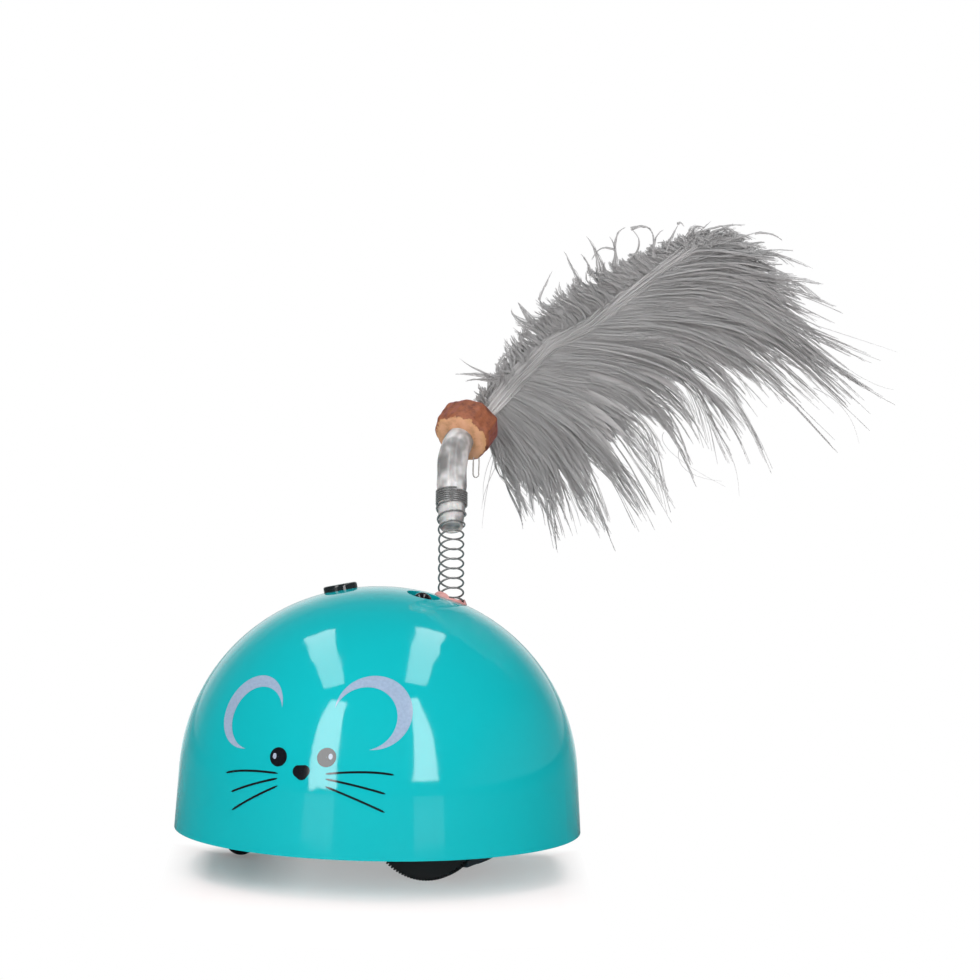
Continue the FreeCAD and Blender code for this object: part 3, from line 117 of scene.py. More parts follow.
def rings_object(name, rings):
    """A closed skin over rings of points, each end of which is closed by a fan."""
    rings = np.asarray(rings)
    rows, columns = rings.shape[:2]
    points = np.concatenate([rings.reshape(-1, 3), [rings[0].mean(axis=0)], [rings[-1].mean(axis=0)]])
    faces = grid_faces(rows, columns, True).tolist()
    last = (rows - 1) * columns
    for j in range(columns):
        k = (j + 1) % columns
        faces.append([k, j, rows * columns])
        faces.append([last + j, last + k, rows * columns + 1])
    return make_object(name, points, faces)


# Lines of points


def lengths(points):
    """How far along their line the points lie."""
    return np.concatenate([[0], np.cumsum(np.linalg.norm(np.diff(points, axis=0), axis=1))])


def between(at, marks, points):
    """Places between points that stand at rising marks."""
    return joined(*(np.interp(at, marks, column) for column in points.T))


def square_to(way):
    return joined(-way[..., 1], way[..., 0])


def curve_through(places, share):
    """A curve from the first place to the last, past the middle one."""
    a, b, c = (np.array(p, float) for p in places)
    middle = 2 * b - (a + c) / 2
    t = share[:, None]
    return a * (1 - t) ** 2 + 2 * middle * t * (1 - t) + c * t**2


def smoothed(values, width, reach, ends):
    """Each value averaged with its neighbours, where ends says how the row goes on past its ends."""
    weights = np.exp(-0.5 * (np.arange(-reach, reach + 1) / width) ** 2)
    return np.convolve(np.pad(values, reach, ends), weights / weights.sum(), "valid")


# Materials


def shade(color, factor):
    return tuple(min(1.0, c * factor) for c in color)


def feed(node, *inputs, **named):
    """Gives a node its inputs, in order or by name, as numbers, directions, colours or outputs of
    other nodes, and its properties by name."""
    pairs = list(zip(node.inputs, inputs))
    for key, value in named.items():
        if hasattr(node, key):
            setattr(node, key, value)
        else:
            pairs.append((node.inputs[key.replace("_", " ")], value))
    for socket, value in pairs:
        if isinstance(value, bpy.types.NodeSocket):
            node.id_data.links.new(value, socket)
        else:
            socket.default_value = (*value, 1) if socket.type == "RGBA" else value


def add(tree, kind, *inputs, **named):
    node = tree.nodes.new("ShaderNode" + kind)
    feed(node, *inputs, **named)
    return node


def shader(name, color, roughness, **sockets):
    material = bpy.data.materials.new(name)
    material.use_nodes = True
    material.diffuse_color = (*color, 1)
    tree = material.node_tree
    bsdf = tree.nodes["Principled BSDF"]
    feed(bsdf, Base_Color=color, Roughness=roughness, **sockets)
    return material, tree, bsdf


def place(tree, scale=(1, 1, 1)):
    where = add(tree, "TexCoord").outputs["Object"]
    return add(tree, "Mapping", Vector=where, Scale=scale).outputs["Vector"]


def noise(where, scale, detail=3.0, roughness=0.5):
    """Noise with features about 1/scale metres across."""
    node = add(where.id_data, "TexNoise", Vector=where, Scale=scale, Detail=detail, Roughness=roughness)
    return node.outputs["Fac"]


def ramp(factor, stops):
    node = add(factor.id_data, "ValToRGB", factor)
    elements = node.color_ramp.elements
    while len(elements) < len(stops):
        elements.new(0.5)
    for element, (position, color) in zip(elements, stops):
        element.position = position
        element.color = (*color, 1)
    return node.outputs["Color"]


def remap(value, low, high, to_low=0.0, to_high=1.0):
    return add(value.id_data, "MapRange", value, low, high, to_low, to_high).outputs["Result"]


def compute(operation, value, *others):
    return add(value.id_data, "Math", value, *others, operation=operation).outputs["Value"]


def steer(operation, where, *others, output="Vector"):
    return add(where.id_data, "VectorMath", where, *others, operation=operation).outputs[output]


def dot(where, way):
    return steer("DOT_PRODUCT", where, way, output="Value")


def mixed(factor, a, b, kind="RGBA"):
    return add(factor.id_data, "Mix", data_type=kind, Factor=factor, A=a, B=b).outputs["Result"]


def height_of(where):
    return add(where.id_data, "SeparateXYZ", where).outputs["Z"]


def surface(factor, first, second):
    """Makes a material's surface a mix of two shaders."""
    tree = first.id_data
    mix = add(tree, "MixShader", factor, first, second)
    feed(tree.nodes["Material Output"], mix.outputs["Shader"])


def bump(bsdf, height, distance, strength=1.0):
    node = add(bsdf.id_data, "Bump", Height=height, Strength=strength, Distance=distance)
    feed(bsdf, Normal=node.outputs["Normal"])


def tinted(factor, color, dark, light):
    """The colour times dark where the factor is low, and times light where it is high."""
    return ramp(factor, [(0.3, shade(color, dark)), (0.7, shade(color, light))])


def moulded(name, color, roughness, grain=0.02, texture=0.000004):
    """Moulded plastic: slow changes of tone, and a fine texture from the mould."""
    material, tree, bsdf = shader(name, color, roughness)
    where = place(tree)
    tone = tinted(noise(where, 60.0), color, 1 - grain, 1 + grain)
    fine = noise(where, 900.0, 4.0)
    rough = remap(fine, 0.3, 0.7, roughness * 0.85, roughness * 1.15)
    feed(bsdf, Base_Color=tone, Roughness=rough)
    bump(bsdf, fine, texture)
    return material


def metal(name, color, roughness, stretch=(1, 1, 1), scale=1500.0, metallic=1.0):
    """Metal with drawing or turning lines, along the axis that stretch makes short."""
    material, tree, bsdf = shader(name, color, roughness, Metallic=metallic)
    lines = noise(place(tree, stretch), scale, 4.0, 0.6)
    rough = remap(lines, 0.3, 0.7, roughness * 0.7, roughness * 1.4)
    feed(bsdf, Base_Color=tinted(lines, color, 0.88, 1.08), Roughness=rough)
    bump(bsdf, lines, 0.000004)
    return material


TEAL = (0.004, 0.36, 0.395)


def shell_material():
    """Glossy moulded shell: even teal with faint flow marks, and a polished, slightly wavy skin."""
    material, tree, bsdf = shader("shell", TEAL, 0.07, IOR=1.5, Specular_IOR_Level=0.5)
    where = place(tree)
    tone = tinted(noise(where, 22.0, 2.0), TEAL, 0.975, 1.02)
    rough = remap(noise(where, 140.0), 0.35, 0.75, 0.05, 0.10)
    feed(bsdf, Base_Color=tone, Roughness=rough)
    bump(bsdf, noise(where, 90.0, 1.0), 0.00001)
    return material


def board_material():
    color = (0.012, 0.16, 0.055)
    material, tree, bsdf = shader("board", color, 0.35)
    traces = add(tree, "TexBrick", Vector=place(tree), Scale=260.0, Mortar_Size=0.06)
    feed(traces, Color1=color, Color2=shade(color, 1.2), Mortar=(0.03, 0.26, 0.09))
    feed(bsdf, Base_Color=traces.outputs["Color"])
    bump(bsdf, traces.outputs["Fac"], 0.00002)
    return material


def cell_material():
    """Plain sleeve, darker at one end, with bright steel ends."""
    material, tree, bsdf = shader("cells", (0.08, 0.09, 0.1), 0.3)
    where = place(tree)
    along = add(tree, "SeparateXYZ", where).outputs["Y"]
    end = remap(compute("ABSOLUTE", along), 0.0208, 0.0212)
    stops = [(0.30, (0.03, 0.035, 0.04)), (0.32, (0.55, 0.32, 0.08))]
    sleeve = ramp(remap(along, -0.02, 0.02), stops)
    feed(bsdf, Base_Color=mixed(end, sleeve, (0.6, 0.6, 0.6)), Metallic=end)
    bump(bsdf, noise(where, 700.0), 0.000006)
    return material


def rubber(name, color, roughness, scale=1200.0):
    """Matt rubber or fibre, blotched, with a coarse texture."""
    material, tree, bsdf = shader(name, color, roughness)
    where = place(tree)
    feed(bsdf, Base_Color=tinted(noise(where, 300.0, 4.0), color, 0.9, 1.1))
    bump(bsdf, noise(where, scale, 4.0), 0.00002)
    return material


# Slot, colour, roughness, grain of the tone and depth of the texture
MOULDED = (
    ("base", (0.006, 0.45, 0.51), 0.32, 0.02, 0.00001),
    ("button", (0.012, 0.016, 0.018), 0.13, 0.1),
    ("switch", (0.02, 0.02, 0.022), 0.4, 0.1),
    ("plunger", (0.16, 0.05, 0.02), 0.4),
    ("lens", (0.006, 0.006, 0.008), 0.04, 0.1, 0.000001),
    ("spacer", (0.7, 0.7, 0.68), 0.4),
    ("chip", (0.015, 0.015, 0.016), 0.55, 0.1, 0.00001),
    ("capacitor", (0.02, 0.025, 0.09), 0.3),
    ("sockets", (0.74, 0.7, 0.6), 0.42),
    ("gearbox", (0.045, 0.054, 0.068), 0.36, 0.08, 0.00001),
    ("gears", (0.78, 0.77, 0.72), 0.35),
    ("hub", (0.012, 0.016, 0.018), 0.4, 0.12, 0.00001),
    ("caster", (0.012, 0.016, 0.02), 0.16, 0.1),
    ("red_wire", (0.5, 0.015, 0.012), 0.3),
    ("black_wire", (0.015, 0.015, 0.016), 0.3),
)
# Slot, colour, roughness and stretch of the lines
METALS = (
    ("screws", (0.55, 0.55, 0.54), 0.3),
    ("tilt_tube", (0.6, 0.58, 0.5), 0.25),
    ("contacts", (0.62, 0.6, 0.55), 0.28),
    ("can", (0.55, 0.55, 0.56), 0.24, (1, 0.08, 1)),
    ("rotor", (0.45, 0.24, 0.12), 0.35, (0.08, 1, 1)),
    ("brass", (0.66, 0.43, 0.15), 0.25),
    ("steel", (0.6, 0.6, 0.6), 0.18, (1, 0.08, 1)),
)
# Slot, colour, roughness and fineness of the texture
RUBBERS = (
    ("tyre", (0.010, 0.014, 0.016), 0.5),
    ("plug", (0.54, 0.26, 0.245), 0.42, 700.0),
    ("thread", (0.36, 0.34, 0.32), 0.8, 4000.0),
)
SLOTS = {"shell": shell_material(), "board": board_material(), "cells": cell_material()}
for make, rows in ((moulded, MOULDED), (metal, METALS), (rubber, RUBBERS)):
    for name, *values in rows:
        SLOTS[name] = make(name, *values)

parts = {row["node"]: row["material_slot"] for row in frame["record"]["subparts"]}
for node, obj in frame["nodes"].items():
    if parts[node] in SLOTS:
        obj.data.materials.clear()
        obj.data.materials.append(SLOTS[parts[node]])


def dress(obj, material, slot, body=None, *replaced):
    obj.data.materials.append(material)
    if body:
        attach(obj, body)
    if replaced:
        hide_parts(*replaced)


# Tyres, with square ribs across the tread

TYRE_DEPTH = 3.0
RIBS = 114
RIB_DEPTH = 0.5
RIB_EDGE = 0.12
# Corners of a rib and the groove beside it, as shares of their pitch
RIB_SHARES = (0.0, 0.42, 0.5, 0.92)


def tyre_piece(label):
    low, high = (np.array(corner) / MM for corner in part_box(label + "_tyre"))
    middle = (low + high) / 2
    outer = (high[0] - low[0]) / 2
    turns = -(np.repeat(np.arange(RIBS), 4) + np.tile(RIB_SHARES, RIBS)) * tau / RIBS
    tread = outer - RIB_DEPTH * np.tile((0, 0, 1, 1), RIBS)
    bore = np.full(len(turns), outer - TYRE_DEPTH)
    rings = []
    for radius, y in (
        (bore, low[1]),
        (tread - RIB_EDGE, low[1]),
        (tread, low[1] + RIB_EDGE),
        (tread, high[1] - RIB_EDGE),
        (tread - RIB_EDGE, high[1]),
        (bore, high[1]),
        (bore, low[1]),
    ):
        x = middle[0] + radius * np.cos(turns)
        z = middle[2] + radius * np.sin(turns)
        rings.append(joined(x, np.full(len(turns), y), z))
    faces = grid_faces(len(rings), len(turns), True)
    obj = make_object(label + "_ribbed_tyre", np.concatenate(rings), faces.tolist(), smooth=False)
    dress(obj, SLOTS["tyre"], "tyre", label + "_wheel", label + "_tyre")


tyre_piece("front")
tyre_piece("rear")


# Printed face, laid on the dome's outer surface: a flat drawing seen along +Y, turned a little

RIM_R = 50.0
SKIRT_H = 15.3
DRAFT = radians(3.83)
SHOULDER_R = 46.95
CAP_R = 52.6
SKIRT_TOP_R = RIM_R - SKIRT_H * tan(DRAFT)
SHOULDER_X = SKIRT_TOP_R - SHOULDER_R * cos(DRAFT)
SHOULDER_Z = SKIRT_H - SHOULDER_R * sin(DRAFT)
CAP_Z = SHOULDER_Z - sqrt((CAP_R - SHOULDER_R) ** 2 - SHOULDER_X**2)

PRINT_AT = (0.75, 20.0)
PRINT_TURN = radians(3.2)
INK_T = 0.05


def on_dome(uv, lift=INK_T):
    """Points of the drawing, as (..., 2), on the dome, as (..., 3)."""
    u, v = uv[..., 0], uv[..., 1]
    x = PRINT_AT[0] + u * cos(PRINT_TURN) - v * sin(PRINT_TURN)
    z = PRINT_AT[1] + u * sin(PRINT_TURN) + v * cos(PRINT_TURN)
    run = np.sqrt(SHOULDER_R**2 - (z - SHOULDER_Z) ** 2)
    reach = np.where(z < SKIRT_H, RIM_R - z * tan(DRAFT), SHOULDER_X + run)
    rise = np.where(z < SKIRT_H, tan(DRAFT), (z - SHOULDER_Z) / run)
    y = -np.sqrt(reach**2 - x**2)
    out = unit(joined(x / reach, y / reach, rise))
    return joined(x, y, z) + out * lift


def ink_material(name, color):
    material, tree, bsdf = shader(name, color, 0.09)
    where = place(tree)
    feed(bsdf, Base_Color=tinted(noise(where, 1500.0), color, 0.93, 1.07))
    bump(bsdf, noise(where, 90.0, 1.0), 0.00001)
    return material


BLACK_INK = ink_material("black_ink", (0.006, 0.007, 0.009))
EAR_INK = ink_material("ear_ink", (0.255, 0.335, 0.455))
PALE_INK = ink_material("pale_ink", (0.28, 0.34, 0.42))


def patch(name, rows, ink, lift=INK_T):
    """One printed shape, from a grid of points of the drawing."""
    rows = np.asarray(rows)
    faces = grid_faces(rows.shape[0], rows.shape[1], False)
    points = on_dome(rows, lift).reshape(-1, 3)
    a, b, c = points[faces[len(faces) // 2][:3]]
    if np.cross(b - a, c - b)[1] > 0:
        faces = faces[:, ::-1]
    obj = make_object(name, points, faces.tolist())
    dress(obj, ink, "shell", "case")


def ellipse(centre, radii, turn=0.0, count=49, start=0.0, end=tau):
    angle = np.linspace(start, end, count)
    u = radii[0] * np.cos(angle)
    v = radii[1] * np.sin(angle)
    c, s = cos(turn), sin(turn)
    return joined(centre[0] + u * c - v * s, centre[1] + u * s + v * c)


def disc(name, centre, outline, ink, lift=INK_T):
    centre = np.asarray(centre)
    patch(name, [centre + (outline - centre) * share for share in np.linspace(0.02, 1, 7)], ink, lift)


EYE = (6.14, 3.41)
EYE_R = (2.3, 2.22)
GLINT = (0.97, 0.18)
GLINT_R = (0.5, 0.68)
NOSE_DISCS = ((-0.75, 0.2, 1.4), (0.85, 0.3, 1.35), (0.1, -0.35, 1.5))
EAR_TURN = radians(-38)
EAR_OUT = ((15.35, 13.2), (9.1, 7.75))
EAR_IN = ((13.75, 11.95), (7.55, 6.8))
WHISKER_W = 0.5
WHISKERS = (
    ((6.0, -0.38), (14.7, -0.1), (21.4, -1.0)),
    ((6.1, -1.55), (13.3, -3.25), (19.7, -5.35)),
    ((6.1, -3.3), (13.2, -6.4), (19.45, -9.65)),
)


def nose_outline():
    """The hull of three discs."""
    points = []
    for angle in np.linspace(0, tau, 97):
        way = np.array([cos(angle), sin(angle)])
        u, v, radius = max(NOSE_DISCS, key=lambda d: d[0] * way[0] + d[1] * way[1] + d[2])
        points.append(np.array([u, v]) + way * radius)
    return np.array(points)


def ear_rows():
    """A crescent between two ellipses, from one of their crossings to the other."""
    outer = ellipse(*EAR_OUT, EAR_TURN, 721, -pi / 2, 3 * pi / 2)
    c, s = cos(EAR_TURN), sin(EAR_TURN)

    def inner_place(points):
        u, v = points[..., 0] - EAR_IN[0][0], points[..., 1] - EAR_IN[0][1]
        return (u * c + v * s) / EAR_IN[1][0], (-u * s + v * c) / EAR_IN[1][1]

    p, q = inner_place(outer)
    outside = outer[p**2 + q**2 >= 1]
    gaps = np.linalg.norm(np.diff(outside, axis=0), axis=1)
    outside = np.roll(outside, -(int(np.argmax(gaps)) + 1), axis=0) if gaps.max() > 0.5 else outside
    outside = outside[:: max(1, len(outside) // 72)]
    ends = [atan2(q, p) for p, q in (inner_place(outside[0]), inner_place(outside[-1]))]
    if ends[1] < ends[0]:
        ends[1] += tau
    inside = ellipse(*EAR_IN, EAR_TURN, len(outside), *ends)
    return [inside + (outside - inside) * share for share in np.linspace(0, 1, 6)]


def whisker_rows(ends):
    share = np.linspace(0, 1, 25)
    line = curve_through(ends, share)
    side = square_to(unit(np.gradient(line, axis=0)))
    half = WHISKER_W / 2 * np.sqrt(np.clip(1 - (2 * share[:, None] - 1) ** 16, 0.04, 1))
    return [line + side * half * w for w in (-1, 0, 1)]


for side, label in ((-1, "left"), (1, "right")):
    mirror = np.array([side, 1])
    eye = np.array(EYE) * mirror
    glint = eye + np.array(GLINT) * mirror
    disc("eye_" + label, eye, ellipse(eye, EYE_R), BLACK_INK)
    disc("glint_" + label, glint, ellipse(glint, GLINT_R), PALE_INK, 2 * INK_T)
    patch("ear_" + label, np.array(ear_rows()) * mirror, EAR_INK)
    for i, ends in enumerate(WHISKERS):
        patch(f"whisker_{label}_{i + 1}", np.array(whisker_rows(ends)) * mirror, BLACK_INK)
disc("nose", (0.1, 0.1), nose_outline(), BLACK_INK)


# Tail line, in planes turned about Z

UP = np.array([0.0, 0.0, 1.0])
TAIL_TURN = radians(23)
TAIL_SIDE = 17.0
TAIL_BACK = 3.0
TAIL_LEAN = radians(42)
SLEEVE_LEAN = radians(17)
STRAIGHT_L = 18.0
CURVE_R = 41.0
RISE_L = 1.7
ELBOW_R = 12.5
BEAD_DIR = (0.40, 0.749, 0.528)


def turned(side, back, up):
    c, s = cos(TAIL_TURN), sin(TAIL_TURN)
    return joined(*np.broadcast_arrays(side * c - back * s, side * s + back * c, up))


def leaning(lean):
    return turned(0.0, np.sin(lean), np.cos(lean))


ACROSS = turned(1.0, 0.0, 0.0)
BACKWARD = turned(0.0, 1.0, 0.0)
SEAT_X, SEAT_Y = turned(TAIL_SIDE, TAIL_BACK, 0.0)[:2]
TAIL_SEAT = np.array([SEAT_X, SEAT_Y, CAP_Z + sqrt(CAP_R**2 - SEAT_X**2 - SEAT_Y**2)])
CURVE_L = CURVE_R * (TAIL_LEAN - SLEEVE_LEAN)
CURVE_END = STRAIGHT_L + CURVE_L
CURVE_START = TAIL_SEAT + leaning(TAIL_LEAN) * STRAIGHT_L
CURVE_CENTRE = CURVE_START + turned(0.0, -cos(TAIL_LEAN), sin(TAIL_LEAN)) * CURVE_R
RISE_DIR = leaning(SLEEVE_LEAN)
RISE_START = CURVE_CENTRE + turned(0.0, cos(SLEEVE_LEAN), -sin(SLEEVE_LEAN)) * CURVE_R
ELBOW_START = RISE_START + RISE_DIR * RISE_L
BEAD_AXIS = turned(*(np.array(BEAD_DIR) / np.linalg.norm(BEAD_DIR)))
ELBOW_TURN = acos(RISE_DIR @ BEAD_AXIS)
ELBOW_IN = unit(BEAD_AXIS - RISE_DIR * (BEAD_AXIS @ RISE_DIR))
ELBOW_END = CURVE_END + RISE_L + ELBOW_R * ELBOW_TURN


def tail_line(s):
    """Points and directions of the tail's centre line at the lengths s."""
    s = np.asarray(s, float)[..., None]
    lean = TAIL_LEAN - np.clip(s - STRAIGHT_L, 0, CURVE_L) / CURVE_R
    way = leaning(lean[..., 0])
    arc = CURVE_CENTRE + turned(0.0, np.cos(lean[..., 0]), -np.sin(lean[..., 0])) * CURVE_R
    straight = TAIL_SEAT + leaning(TAIL_LEAN) * s
    rise = RISE_START + RISE_DIR * (s - CURVE_END)
    turn = np.clip((s - CURVE_END - RISE_L) / ELBOW_R, 0, ELBOW_TURN)
    elbow = ELBOW_START + RISE_DIR * ELBOW_R * np.sin(turn) + ELBOW_IN * ELBOW_R * (1 - np.cos(turn))
    elbow = elbow + BEAD_AXIS * np.clip(s - ELBOW_END, 0, None)
    elbow_way = RISE_DIR * np.cos(turn) + ELBOW_IN * np.sin(turn)
    point = np.where(s < STRAIGHT_L, straight, arc)
    point = np.where(s > CURVE_END, rise, point)
    point = np.where(s > CURVE_END + RISE_L, elbow, point)
    way = np.where(s > CURVE_END + RISE_L, elbow_way, way)
    return point, way


BEAD_FACE = tail_line(ELBOW_END)[0]


# Spring: one wire in two lengths

WIRE_R = 0.24
CURL_R = 3.05
CURL_PITCH = 2.98
CURL_PHASE = radians(-73)
PACK_R = 3.80
PACK_PITCH = 0.62
PACK_CURLS = 6
OPEN_CURLS = 10
SPRING_START = -1.6
PACK_START = 28.2
FLARE_START = 20.0
BEND_START = 3.0
SPLIT_S = 11.5
BEND_END = 20.0
CURL_STEPS = 40


def spring_piece(name, first, last):
    curls = np.linspace(first, last, round((last - first) * CURL_STEPS) + 1)
    s = SPRING_START + np.minimum(curls, OPEN_CURLS) * CURL_PITCH
    s = s + np.maximum(curls - OPEN_CURLS, 0) * PACK_PITCH
    flare = np.clip((s - FLARE_START) / (PACK_START - FLARE_START), 0, 1)
    centre, way = tail_line(s)
    angle = (tau * curls + CURL_PHASE)[:, None]
    out = ACROSS * np.cos(angle) + np.cross(way, ACROSS) * np.sin(angle)
    line = centre + out * (CURL_R + (PACK_R - CURL_R) * flare)[:, None]
    return strands(name, line[None], WIRE_R, 10, way)


wire = metal("wire", (0.20,) * 3, 0.28, scale=3000.0, metallic=0.35)
split = (SPLIT_S - SPRING_START) / CURL_PITCH
for name, curls, below, above, bend in (
    ("spring_lower", (0, split), "case", "spring", (BEND_START, SPLIT_S)),
    ("spring_upper", (split, OPEN_CURLS + PACK_CURLS), "spring", "feather", (SPLIT_S, BEND_END)),
):
    piece = spring_piece(name, *curls)
    dress(piece, wire, "spring", None, "tail_spring")
    start, end = (tail_line(s)[0] * MM for s in bend)
    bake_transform(piece)


# Soft tube from the spring into the bead

SLEEVE_START = 21.9
SLEEVE_TIP_R = 2.9
SLEEVE_R = 3.5
SLEEVE_FULL_R = 3.75
SLEEVE_WALL = 0.7
SLEEVE_END = ELBOW_END + 1.6
# The lip's rings: how far from the open end, and how far inside the outer wall
LIP_AT = (1.0, 0.15, 0.0, 0.0, 0.15)
LIP_INSET = (SLEEVE_WALL, SLEEVE_WALL, SLEEVE_WALL - 0.15, 0.15, 0.0)
# Where it starts and ends to be full, and over what lengths
FULL_START = (PACK_START + 3.2, 2.0)
FULL_END = (ELBOW_END + 0.5, 2.5)


def sleeve_rings():
    """From inside the open end, round its lip, and up the outside, which is a little uneven."""
    s = np.concatenate([SLEEVE_START + np.array(LIP_AT), np.linspace(SLEEVE_START + 0.5, SLEEVE_END, 60)])
    grown = np.clip((s - SLEEVE_START) / (PACK_START - SLEEVE_START), 0, 1)
    full = np.clip((s - FULL_START[0]) / FULL_START[1], 0, 1) * np.clip((FULL_END[0] - s) / FULL_END[1], 0, 1)
    outer = SLEEVE_TIP_R + (SLEEVE_R - SLEEVE_TIP_R) * grown + (SLEEVE_FULL_R - SLEEVE_R) * full
    inset = np.zeros(len(s))
    inset[: len(LIP_INSET)] = LIP_INSET
    centre, way = tail_line(s)
    first = unit(np.cross(way, ACROSS))
    turns = np.linspace(0, tau, 48, endpoint=False)
    pinch = 0.07 * np.sin(s * 0.9)[:, None] * np.cos(2 * turns + 0.4)
    pinch = pinch + 0.05 * np.sin(s * 2.3)[:, None] * np.cos(turns)
    radius = (outer - inset)[:, None] + np.where(inset > 0, 0, 1)[:, None] * pinch
    return centre[:, None] + around(first, np.cross(way, first), turns) * radius[..., None]


def sleeve_material():
    """Milky soft tube: cloudy, a little see-through, with a waxy gloss."""
    color = (0.31, 0.31, 0.308)
    material, tree, bsdf = shader("sleeve", color, 0.22, IOR=1.42, Transmission_Weight=0.15)
    feed(bsdf, Subsurface_Weight=0.15, Subsurface_Scale=0.0015)
    where = place(tree)
    stops = [(0.40, (0.20,) * 3), (0.50, color), (0.60, (0.60,) * 3)]
    feed(bsdf, Base_Color=ramp(noise(where, 170.0, 2.0), stops))
    bump(bsdf, noise(where, 420.0), 0.00012)
    return material


sleeve = rings_object("sleeve", sleeve_rings())
dress(sleeve, sleeve_material(), "sleeve", "feather", "feather_sleeve")


# Bead: a slice of a thin branch, with flat bark sides and pale cut faces

BEAD_R = 7.5
BEAD_T = 8.3
BEAD_SIDES = 9
BEAD_COLUMNS = 180
BEAD_ACROSS = unit(np.cross(ELBOW_IN, RISE_DIR))
BEAD_UP = np.cross(BEAD_AXIS, BEAD_ACROSS)
CRACK_AT = 2.55
CRACK_SPREAD = 0.004
BARK = (
    (0.34, (0.12, 0.036, 0.019)),
    (0.46, (0.21, 0.062, 0.027)),
    (0.60, (0.27, 0.088, 0.036)),
    (0.72, (0.27, 0.085, 0.062)),
)
# Painted sheen: the purplish tone the bark is given where it is seen edge-on
BARK_GRAZING_SHEEN = (0.26, 0.07, 0.11)
WOOD = ((0.32, (0.42, 0.225, 0.11)), (0.5, (0.55, 0.29, 0.16)), (0.7, (0.60, 0.325, 0.20)))
WOOD_RIM = (0.45, 0.24, 0.10)


def bead_outline():
    """Angle and radius of the bead's edge: straight sides between uneven corners."""
    i = np.arange(BEAD_SIDES)
    angle = tau * (i + 0.15 * np.sin(3.1 * i)) / BEAD_SIDES
    radius = BEAD_R * (1 + 0.05 * np.sin(2.3 * i + 1))
    corners = joined(np.cos(angle) * radius, np.sin(angle) * radius)
    turns = np.linspace(0, tau, BEAD_COLUMNS, endpoint=False)
    reach = np.full(BEAD_COLUMNS, 1e9)
    for a, b in zip(corners, np.roll(corners, -1, axis=0)):
        out = np.array([b[1] - a[1], a[0] - b[0]])
        out = out / np.linalg.norm(out)
        facing = out[0] * np.cos(turns) + out[1] * np.sin(turns)
        reach = np.where(facing > 0.3, np.minimum(reach, (a @ out) / np.maximum(facing, 0.3)), reach)
    return turns, smoothed(reach, 1.5, 8, "wrap")


def ripple(turns, seed, waves, size):
    """A closed uneven line round the bead."""
    local = np.random.default_rng(seed)
    total = np.zeros(len(turns))
    for k in waves:
        total += np.sin(k * turns + local.uniform(0, tau)) * size / sqrt(k)
    return total


def bead_rings():
    """From the front cut's middle, along the bark, to the back cut's middle."""
    turns, reach = bead_outline()
    side = around(BEAD_ACROSS, BEAD_UP, turns)
    crack = np.exp(-(((turns - CRACK_AT + pi) % tau - pi) ** 2) / CRACK_SPREAD)
    bark = ripple(turns, 3, range(5, 30), 0.045)
    scallop = ripple(turns, 5, range(8, 26), 0.12)
    rings = []

    def ring(share, depth, rough, edge=0.0):
        radius = reach * share + bark * rough + scallop * edge
        rings.append(BEAD_FACE + side * radius[:, None] + BEAD_AXIS * np.asarray(depth)[..., None])

    for share in (0.12, 0.3, 0.45, 0.6, 0.72, 0.82):
        saw = ripple(turns, int(share * 100), range(2, 14), 0.03)
        ring(share, saw + crack * 0.55 * min(1.0, 1.3 - share), 0)
    ring(0.88, 0.10 + crack * 0.3, 0.2, 0.6)
    ring(0.93, 0.32, 0.5, 0.8)
    ring(0.97, 0.62, 0.9, 0.4)
    for step, depth in enumerate(np.linspace(1.0, BEAD_T - 1.0, 9)):
        ring(1.0 + 0.006 * sin(2.1 * step), depth, 1.1 - 0.2 * sin(step))
    ring(0.97, BEAD_T - 0.6, 0.9, 0.3)
    ring(0.93, BEAD_T - 0.3, 0.5, 0.5)
    for share in (0.86, 0.7, 0.5, 0.3, 0.12):
        ring(share, BEAD_T + ripple(turns, int(share * 90), range(2, 14), 0.03), 0)
    return rings


def bead_material():
    """Reddish bark, with a painted sheen that turns it purplish where it is seen edge-on, round pale cut
    faces, which lie farther along the bead's axis.
    """
    material, tree, bsdf = shader("bead", (0.3, 0.12, 0.07), 0.6)
    where = add(tree, "TexCoord").outputs["Object"]
    away = steer("SUBTRACT", where, (BEAD_FACE + BEAD_AXIS * BEAD_T / 2) * MM)
    along = dot(away, BEAD_AXIS)
    lift = add(tree, "VectorMath", BEAD_AXIS, operation="SCALE", Scale=along).outputs["Vector"]
    flat = steer("SUBTRACT", away, lift)
    uneven = remap(noise(where, 900.0, 4.0), 0.3, 0.7, -0.0003, 0.0003)
    edge = compute("ADD", compute("ABSOLUTE", along), uneven)

    streaks = noise(where, 520.0, 5.0, 0.65)
    # Painted sheen: the bark turns purplish where its surface is seen edge-on
    facing = add(tree, "LayerWeight", Blend=0.35).outputs["Facing"]
    bark = mixed(remap(facing, 0.45, 0.9), ramp(streaks, BARK), BARK_GRAZING_SHEEN)
    wood = ramp(noise(where, 380.0, 4.0, 0.6), WOOD)
    reach = steer("LENGTH", flat, output="Value")
    wood = mixed(remap(reach, 0.0058, 0.0072), wood, WOOD_RIM)
    feed(bsdf, Base_Color=mixed(remap(edge, 0.00375, 0.0039), bark, wood))
    bump(bsdf, streaks, 0.00012, 0.8)
    return material


bead = rings_object("bead", bead_rings())
dress(bead, bead_material(), "bead", "feather", "wooden_bead")


# Thread loop under the bead, in (side, back, up) with up measured from the dome's rim

THREAD_AT = (23.1, 28.0, 86.0)
THREAD_HALF = 0.72
THREAD_DROP = 1.1
THREAD_LEG = (4.0, 0.2)
THREAD_PITCH = 0.15
THREAD_R = 0.11


